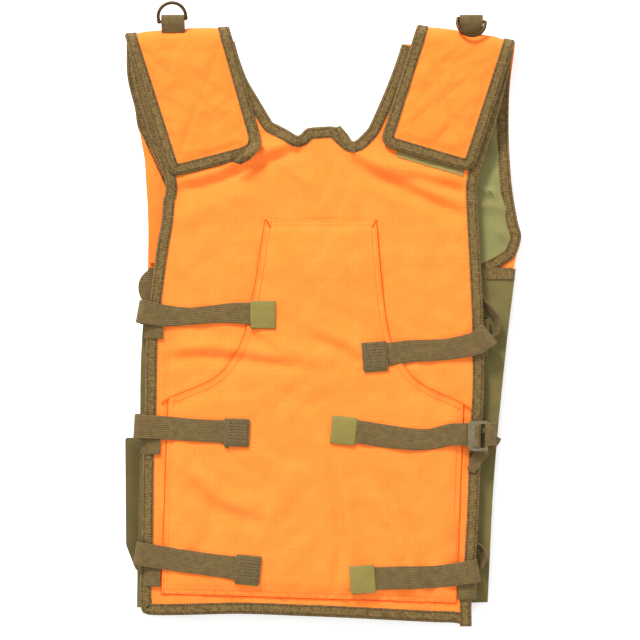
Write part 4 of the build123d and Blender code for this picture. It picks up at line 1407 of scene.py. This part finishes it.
@dataclass
class Zip:
    """The front zip: two woven tapes, and the teeth, slider and pull in metal."""

    low: float = 34.0
    high: float = 470.0

    def build(self) -> None:
        """Builds the tapes and finishes the metal."""
        for side in Side:
            low, high = (np.array(c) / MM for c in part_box(f"zip_teeth_{side.word}"))
            inner = high[0] - 0.6 if side is Side.RIGHT else low[0] + 0.6
            outer = drafted([(ZIP_HALF + 1.0, self.low), (ZIP_HALF + 1.0, self.high)], side)
            line = turned_left(divided([(inner, low[1]), *outer, (inner, high[1])], 6))
            tape = cut_cloth(f"zip_cloth_{side.word}", line, on_front(ZIP_LEVEL), 0.7, None, 6)
            settle(tape, "vest", Finishes.ZIP_CLOTH, [f"zip_tape_{side.word}"])
            declare_cut(line)
            Finishes.ZIP_METAL.wear(node(f"zip_teeth_{side.word}"))
        Finishes.ZIP_METAL.wear(node("zip_slider"), node("zip_pull"))


def node(name: str) -> bpy.types.Object:
    """The CAD node of that name."""
    return FRAME["nodes"][name]


FRAME: dict = {}


# ------------------------------------------------------------------ side straps
class KeeperFace(Enum):
    """How the keeper at a strap's end shows."""

    HOOK = "the hook side up"
    BOXED = "wrapped webbing with a sewn box"


@dataclass
class SideStrap:
    """One side strap: the turn round the back's edge, the tail, its keeper and the root below it."""

    name: str
    side: Side
    run: Sequence[tuple[float, float, float]]
    keeper: tuple[float, float]
    turn: float
    face: KeeperFace
    back: BackBody
    bend: float = 7.15
    middle: float = 26.05

    @property
    def body(self) -> str:
        """The body that the strap's tail moves with."""
        return f"strap_{self.name}"

    def tail(self) -> tuple[np.ndarray, np.ndarray]:
        """The strap's middle line over the back, from its bend to inside its keeper.

        Returns:
            Its points with their heights, and its width at each.
        """
        ends = [*[(x, y) for x, y, _ in self.run], self.keeper]
        line = np.array(flow(ends, 2.5))
        run = run_along(line)
        at = [0.0]
        for i in range(1, len(self.run)):
            at.append(float(run[np.argmin(np.hypot(line[:, 0] - ends[i][0], line[:, 1] - ends[i][1]))]))
        widths = np.interp(run, [*at, run[-1]], [*[w for _, _, w in self.run], 23.0])
        z = self.back.support(line[:, 0], line[:, 1]) + 1.4
        z = np.maximum(z, 27.4)
        first = smooth(1 - run / 42)
        z = z * (1 - first) + (self.middle + self.bend) * first
        pad = np.concatenate([np.full(6, z[0]), z, np.full(6, z[-1])])
        z = np.convolve(pad, np.ones(13) / 13, "valid") + 0.5 * np.sin(run * 0.11) * smooth(run / 30)
        return np.column_stack([line, z]), widths

    def strip(self) -> tuple[np.ndarray, np.ndarray, np.ndarray]:
        """The way the strap's webbing runs, from its hidden leg round the bend to its end.

        Returns:
            Its middle line, the direction across it at each point, and its width at each.
        """
        line, widths = self.tail()
        out = line[0] - line[4]
        out[2] = 0
        out /= np.linalg.norm(out)
        centre = line[0] - out * self.bend
        angles = np.linspace(-math.pi / 2, math.pi / 2, 15)
        arc = np.array([centre + out * self.bend * math.cos(a) for a in angles])
        arc[:, 2] = self.middle + self.bend * np.sin(angles)
        leg = np.array([arc[0] - out * d for d in (5.0, 4.0, 3.0, 1.5)])
        rest = line[np.linalg.norm(line[:, :2] - line[0, :2], axis=1) > self.bend + 1.0]
        path = np.concatenate([leg, arc, rest])
        turned = len(leg) + len(arc)
        wide = np.concatenate([np.full(turned, widths[0]), widths[-len(rest):]])
        side = np.cross(out, [0, 0, 1.0])
        along = np.gradient(path[:, :2], axis=0)
        across = np.tile(side, (len(path), 1))
        flat = along[turned:] / np.linalg.norm(along[turned:], axis=1)[:, None]
        across[turned:] = np.column_stack([-flat[:, 1], flat[:, 0], np.zeros(len(rest))])
        across[turned:] *= np.sign((across[turned:] * side).sum(axis=1))[:, None]
        return path, across, wide

    def build(self) -> None:
        """Builds and dresses the strap."""
        path, across, wide = self.strip()
        strap = web_strip(f"{self.body}_web", path, across, wide, WEB_THICK)
        Finishes.WEB.wear(strap)
        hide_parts(f"tail_{self.name}", f"strap_turns_{self.side.word}")
        path_length(path)
        edge, inward = path[11], -self.side.value
        start, end = ((edge[0] * MM + inward * far, edge[1] * MM, HINGE_LEVEL) for far in (0.010, 0.022))
        self.body
        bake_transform(strap)
        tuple(start)
        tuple(end)
        self.build_keeper(path[-1])

    def on_keeper(self, level: float) -> Place:
        """Where a point goes that is given from the keeper's middle, the keeper's own length along X."""
        c, s = math.cos(math.radians(self.turn)), math.sin(math.radians(self.turn))

        def place(x: np.ndarray, y: np.ndarray, h: np.ndarray) -> np.ndarray:
            """Places points of the keeper."""
            return np.stack([self.keeper[0] + x * c - y * s, self.keeper[1] + x * s + y * c, level + h],
                            axis=-1) * MM
        return place

    def build_keeper(self, at: np.ndarray) -> None:
        """Builds the keeper on the strap's end."""
        name = f"keeper_{self.name}_cloth"
        deselect()
        bpy.ops.mesh.primitive_cube_add(size=1)
        obj = bpy.context.object
        obj.name = obj.data.name = name
        bpy.ops.object.mode_set(mode="EDIT")
        bpy.ops.mesh.select_all(action="SELECT")
        bpy.ops.transform.resize(value=(0.0275, 0.0305, 0.0042))
        bpy.ops.mesh.bevel(offset=0.0013, segments=3, affect="EDGES")
        bpy.ops.mesh.subdivide(number_cuts=5)
        bpy.ops.object.mode_set(mode="OBJECT")
        v = np.array([tuple(p.co) for p in obj.data.vertices]) / MM
        inset = 3.0 if self.face is KeeperFace.BOXED else 1.5
        near = np.minimum(13.75 - np.abs(v[:, 0]), 15.25 - np.abs(v[:, 1]))
        if self.name == "left_upper":
            v[:, 2] -= np.where((v[:, 2] > 1) & (v[:, 1] < -8.4), 1.0, 0)
        v[:, 2] += np.where(v[:, 2] > 1, 0.5 * smooth((near - inset) / 5) + 0.15 * np.sin(v[:, 0] * .9), 0)
        obj.data.uv_layers.new(name="cloth")
        obj.data.uv_layers.remove(obj.data.uv_layers[0])
        uv = obj.data.uv_layers["cloth"]
        for loop, item in zip(obj.data.loops, uv.data):
            item.uv = tuple(v[loop.vertex_index, :2] * MM)
        place = self.on_keeper(at[2])
        spots = place(v[:, 0], v[:, 1], v[:, 2])
        obj.data.vertices.foreach_set("co", spots.astype(np.float32).ravel())
        bpy.ops.object.shade_smooth_by_angle(angle=math.radians(50))
        finish = Finishes.HOOK if self.face is KeeperFace.HOOK else Finishes.BOXED
        settle(obj, self.body, finish, [f"keeper_{self.name}"])
        if self.face is KeeperFace.HOOK:
            return
        self.build_lip(at)
        box = [(-11.5, -12.5), (11.5, -12.5), (11.5, 12.5), (-11.5, 12.5), (-11.5, -12.5)]
        rows = [straight(box, 2)] + [straight([(-10.2 + k % 2, m), (10.4, m)], 2)
                                     for k, m in enumerate((-10, -6.6, -3.3, 0, 3.3, 6.6, 10))]
        top = lambda x, y: 2.15 + 0.5 * smooth((np.minimum(13.75 - np.abs(x), 15.25 - np.abs(y)) - inset) / 5)
        needle = Needle(thread=BINDING_THREAD, length=1.2, pitch=2.9)
        settle(needle.sew(f"keeper_{self.name}_stitches", rows, place, top), self.body, Finishes.THREAD)

    def build_lip(self, at: np.ndarray) -> None:
        """Builds the hook tape that shows beside a boxed keeper."""
        line = [(-12.6, -17.6), (12.9, -17.6), (12.6, 13.0), (-12.4, 13.0)]
        lip = cut_cloth(f"keeper_{self.name}_hook", divided(line, 4), self.on_keeper(at[2] - 2.3), 0.9,
                        None, 5)
        settle(lip, self.body, Finishes.HOOK)
        declare_cut(line)


@dataclass
class Straps:
    """All six side straps, their roots, anchors and ladder locks."""

    back: BackBody

    def build(self) -> None:
        """Builds the straps and what holds them."""
        left, right, hook, boxed = Side.LEFT, Side.RIGHT, KeeperFace.HOOK, KeeperFace.BOXED
        rows = [
            ("left_upper", left, [(-200, 4, 25.4), (-170, -1, 23.5), (-143.6, -1.4, 18.3), (-116.4, .8, 19.5),
                                  (-97.8, 2, 22), (-78, 1.4, 23.7)], (-64, .2), 0, hook),
            ("left_middle", left, [(-204, -121, 26), (-170, -123, 25.4), (-135, -125.5, 24),
                                   (-106.8, -127, 25)], (-92.4, -128), -2, boxed),
            ("left_lower", left, [(-203, -259, 26), (-164, -265.6, 25), (-128, -270.5, 24),
                                  (-95.6, -275, 25)], (-80.4, -276.4), -6, boxed),
            ("right_upper", right, [(182.5, -20, 27), (173.5, -27, 26.5), (163.5, -32.3, 25), (135, -37.6, 23),
                                    (97.7, -39.6, 24), (73.9, -42.7, 25)], (57.6, -44.6), 4, boxed),
            ("right_lower", right, [(170.5, -277.6, 25.4), (152, -281, 25), (126.7, -284.4, 24),
                                    (92.9, -285.5, 25), (58, -286.5, 25)], (44.2, -287.4), 4, hook),
        ]
        for name, side, run, keeper, turn, face in rows:
            SideStrap(name, side, run, keeper, turn, face, self.back).build()
        self.build_open()
        self.build_roots()
        self.build_loops()
        for side in Side:
            Finishes.PLASTIC.wear(node(f"side_locks_{side.word}"))
        Finishes.PLASTIC.wear(node("lock_right_middle"))

    def build_open(self) -> None:
        """Builds the strap whose ladder lock shows at the right edge."""
        strap = SideStrap("right_middle", Side.RIGHT,
                          [(166, -129.5, 24.5), (140.5, -130.3, 24), (120, -134.8, 22.5),
                           (100.8, -135.3, 23.5), (66.8, -131.5, 25), (37.3, -126.6, 25)], (23.6, -125.6), -6,
                          KeeperFace.HOOK, self.back)
        line, wide = strap.tail()
        low, high = (np.array(c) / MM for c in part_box("lock_right_middle"))
        self.build_tongue(low, high)
        bar, z, y = high[0] - 11.5, (low[2] + high[2]) / 2, (low[1] + high[1]) / 2
        loop = [(bar + 2.7 * math.sin(a), y, z + 2.7 * math.cos(a)) for a in np.linspace(2.4, -1.9, 10)]
        start = [(bar - 9, y, z - 5.2), (bar - 4, y, z - 4.6)]
        down = [(bar - 6.5, y, z - 2.9)]
        rest = line[line[:, 0] < bar - 12]
        rest[:, 2] = np.maximum(rest[:, 2], 0)
        path = np.array(straight([*start, *loop, *down, *[tuple(r) for r in rest]], 2.0))
        near = np.interp(path[:, 0], line[::-1, 0], wide[::-1])
        across = np.tile([0.0, 1.0, 0.0], (len(path), 1))
        piece = web_strip("strap_right_middle_web", path, across, near, WEB_THICK)
        settle(piece, strap.body, Finishes.WEB, ["tail_right_middle"])
        path_length(path)
        strap.build_keeper(path[-1])

    def build_loops(self) -> None:
        """Builds the slack webbing that stands out beside the back, and the half-round loop above it."""
        slack = {
            "slack_loop_upper": ([(166, 22, 15), (176, 13, 15.5), (184, 5, 17), (190, -3, 19),
                                  (192.5, -11, 20), (191, -19, 19), (186, -25, 17)], (0.45, 0.35, 0.82), 13.0),
            "slack_loop_lower": ([(160, -252, 17), (170, -252, 18), (176.5, -258, 20), (177.5, -267, 20),
                                  (174, -276, 19)], (0.3, 0.3, 0.9), 12.0),
        }
        for name, (points, across, width) in slack.items():
            path = np.array(flow3(points))
            strip = web_strip(name, path, np.tile(across, (len(path), 1)), np.full(len(path), width),
                              LOOSE_WEB_THICK)
            settle(strip, "vest", Finishes.WEB)
            path_length(path)
        half = [(-181, 50), (-186, 50), (-194, 46), (-199.5, 38), (-201, 29), (-199, 20), (-194, 13),
                (-188, 10), (-181, 10)]
        line = turned_left(straight([*flow(half, 3), half[0]], 4)[:-1])
        loop = cut_cloth("side_loop_left", line, on_front(SIDE_LOOP_LEVEL), WEB_THICK,
                         lambda x, y: 0.8 * np.sin((x + 200) / 6), 3.5)
        settle(loop, "vest", Finishes.WEB)
        declare_cut(line)

    def build_tongue(self, low: np.ndarray, high: np.ndarray) -> None:
        """Builds the open ladder lock's rounded tongue.

        Args:
            low: the lock's lowest corner in millimetres.
            high: its highest corner.
        """
        deselect()
        bpy.ops.mesh.primitive_cylinder_add(vertices=40, radius=0.012, depth=0.0016, location=(0, 0, 0))
        obj = bpy.context.object
        obj.name = obj.data.name = "lock_tongue_right_middle"
        bpy.ops.object.mode_set(mode="EDIT")
        bpy.ops.mesh.select_all(action="SELECT")
        bpy.ops.transform.resize(value=(0.88, 1.08, 1.0))
        bpy.ops.mesh.bisect(plane_co=(0.0005, 0, 0), plane_no=(1, 0, 0), use_fill=True, clear_outer=True)
        bpy.ops.mesh.select_all(action="SELECT")
        bpy.ops.transform.translate(value=((low[0] + 10.2) * MM, (low[1] + high[1]) / 2 * MM,
                                           (high[2] - 0.3) * MM))
        bpy.ops.object.mode_set(mode="OBJECT")
        bevel = obj.modifiers.new("soft edge", "BEVEL")
        bevel.width, bevel.segments = 0.0005, 3
        bpy.ops.object.modifier_apply(modifier=bevel.name)
        bpy.ops.object.shade_smooth_by_angle(angle=math.radians(45))
        settle(obj, "strap_right_middle", Finishes.PLASTIC)

    def build_roots(self) -> None:
        """Builds the roots sewn on the back's edges and the loops that hold the ladder locks."""
        spots = {Side.LEFT: [(-190, -14), (-193, -140), (-193, -284)],
                 Side.RIGHT: [(177, -33), (172, -152), (165, -298)]}
        for side, places in spots.items():
            out = side.value
            for count, (x, y) in enumerate(places):
                path = [(x - out * 17, y, 27.6), (x - out * 10, y, 27.8), (x - out * 3, y, 27.2),
                        (x + out * 2.6, y, 25.0), (x + out * 3.4, y, 22.4), (x + out * 1.5, y, 20.4),
                        (x - out * 5, y, 19.7)]
                across, last = (0.0, 1.0, 0.0), 24.0
                if side is Side.RIGHT and count == 1:
                    path = [(186, -130, 21), (184, -134, 25), (178, -143, 27.8), (171, -154, 28.4),
                            (165.5, -164, 28), (162.5, -171, 27.0)]
                    across, last = (0.78, -0.63, 0.0), 9.0
                path = np.array(straight(flow3(path), 1.5))
                strip = web_strip(f"strap_root_{side.word}_{count + 1}", path, np.tile(across, (len(path), 1)),
                                  np.linspace(24.0, last, len(path)), WEB_THICK)
                settle(strip, "vest", Finishes.WEB, [f"strap_roots_{side.word}"])
                path_length(path)
            anchors = node(f"lock_anchors_{side.word}")
            held = np.array([anchors.matrix_world @ v.co for v in anchors.data.vertices]) / MM
            for count, (_, y) in enumerate(places):
                if side is Side.RIGHT and count == 1:
                    path = [(x, -129.5, z) for x, z in ((190, 26.0), (188, 30.0), (184.5, 36.5), (181, 38.4),
                                                        (177.6, 36.6), (177.8, 33.8), (181, 32.4), (186, 29),
                                                        (188, 25.0))]
                else:
                    beside_it = held[np.abs(held[:, 1] - y - 16) < 11, 0]
                    x = (beside_it.min() + beside_it.max()) / 2 if len(beside_it) else x
                    path = [(x + out * far, y + 16, z) for far, z in ((6, 11.8), (0, 12.0), (-5, 13.4),
                                                                      (-5, 15.6), (0, 17.2), (6, 17.0))]
                path = np.array(straight(flow3(path), 1.5))
                loop = web_strip(f"lock_anchor_{side.word}_{count + 1}", path,
                                 np.tile([0.0, 1.0, 0.0], (len(path), 1)), np.full(len(path), 25.0),
                                 LOOSE_WEB_THICK)
                settle(loop, "vest", Finishes.WEB, [f"lock_anchors_{side.word}"])
                path_length(path)


def flow3(points: Sequence[tuple[float, float, float]]) -> list[tuple[float, float, float]]:
    """A smooth line through points in space."""
    return flow(points, 1.5)


# ------------------------------------------------------------------ the studio
@dataclass
class Studio:
    """A plain pale floor, soft light and the camera above."""

    lens: float = 100.0
    height: float = 1.963

    def build(self) -> None:
        """Builds the floor, the lights and the camera."""
        scene = bpy.context.scene
        deselect()
        bpy.ops.mesh.primitive_plane_add(size=8.0, location=(0, 0, 0))
        floor = bpy.context.object
        floor.name = "studio_floor"
        material, _, shader = new_material("pale_floor")
        shader.inputs["Base Color"].default_value = (0.93, 0.93, 0.93, 1)
        shader.inputs["Roughness"].default_value = 0.95
        shader.inputs["Emission Color"].default_value = (1, 1, 1, 1)
        shader.inputs["Emission Strength"].default_value = 0.22
        floor.data.materials.append(material)
        world = bpy.data.worlds.new("studio")
        world.use_nodes = True
        world.node_tree.nodes["Background"].inputs[0].default_value = (1, 1, 1, 1)
        world.node_tree.nodes["Background"].inputs[1].default_value = 0.95
        scene.world = world
        for name, where, size, power in (("key", (-1.7, 4.3, 3.0), 1.2, 420.0),
                                         ("fill", (2.6, -1.2, 3.2), 2.0, 30.0)):
            light = bpy.data.lights.new(name, "AREA")
            light.size, light.energy = size, power
            lamp = bpy.data.objects.new(name, light)
            lamp.location = where
            lamp.rotation_euler = (-Vector(where)).to_track_quat("-Z", "Y").to_euler()
            scene.collection.objects.link(lamp)
        camera = bpy.data.cameras.new("camera")
        camera.lens, camera.sensor_width = self.lens, 36.0
        eye = bpy.data.objects.new("camera", camera)
        eye.location = (-0.002, -0.0057, self.height)
        scene.collection.objects.link(eye)
        scene.camera = eye
        scene.view_settings.view_transform = "Standard"


def main() -> None:
    """Builds the vest's looks in order and reports each piece."""
    logging.basicConfig(level=logging.INFO, format="%(message)s")
    FRAME.update(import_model())
    make_groups()
    back = BackBody()
    back.build()
    Shoulder(Side.LEFT, [(-214.5, 306.0), (-101.5, 313.3), (-62.5, 176.0), (-164.5, 149.5)]).build()
    Shoulder(Side.RIGHT, [(210.4, 298.5), (104.5, 315.4), (63.2, 184.8), (163.6, 155.0)]).build()
    for side in Side:
        FrontHalf(side).build()
        Finishes.BRASS.wear(node(f"ring_{side.word}"))
    Zip().build()
    Straps(back).build()
    Studio().build()


if __name__ == "__main__":
    main()
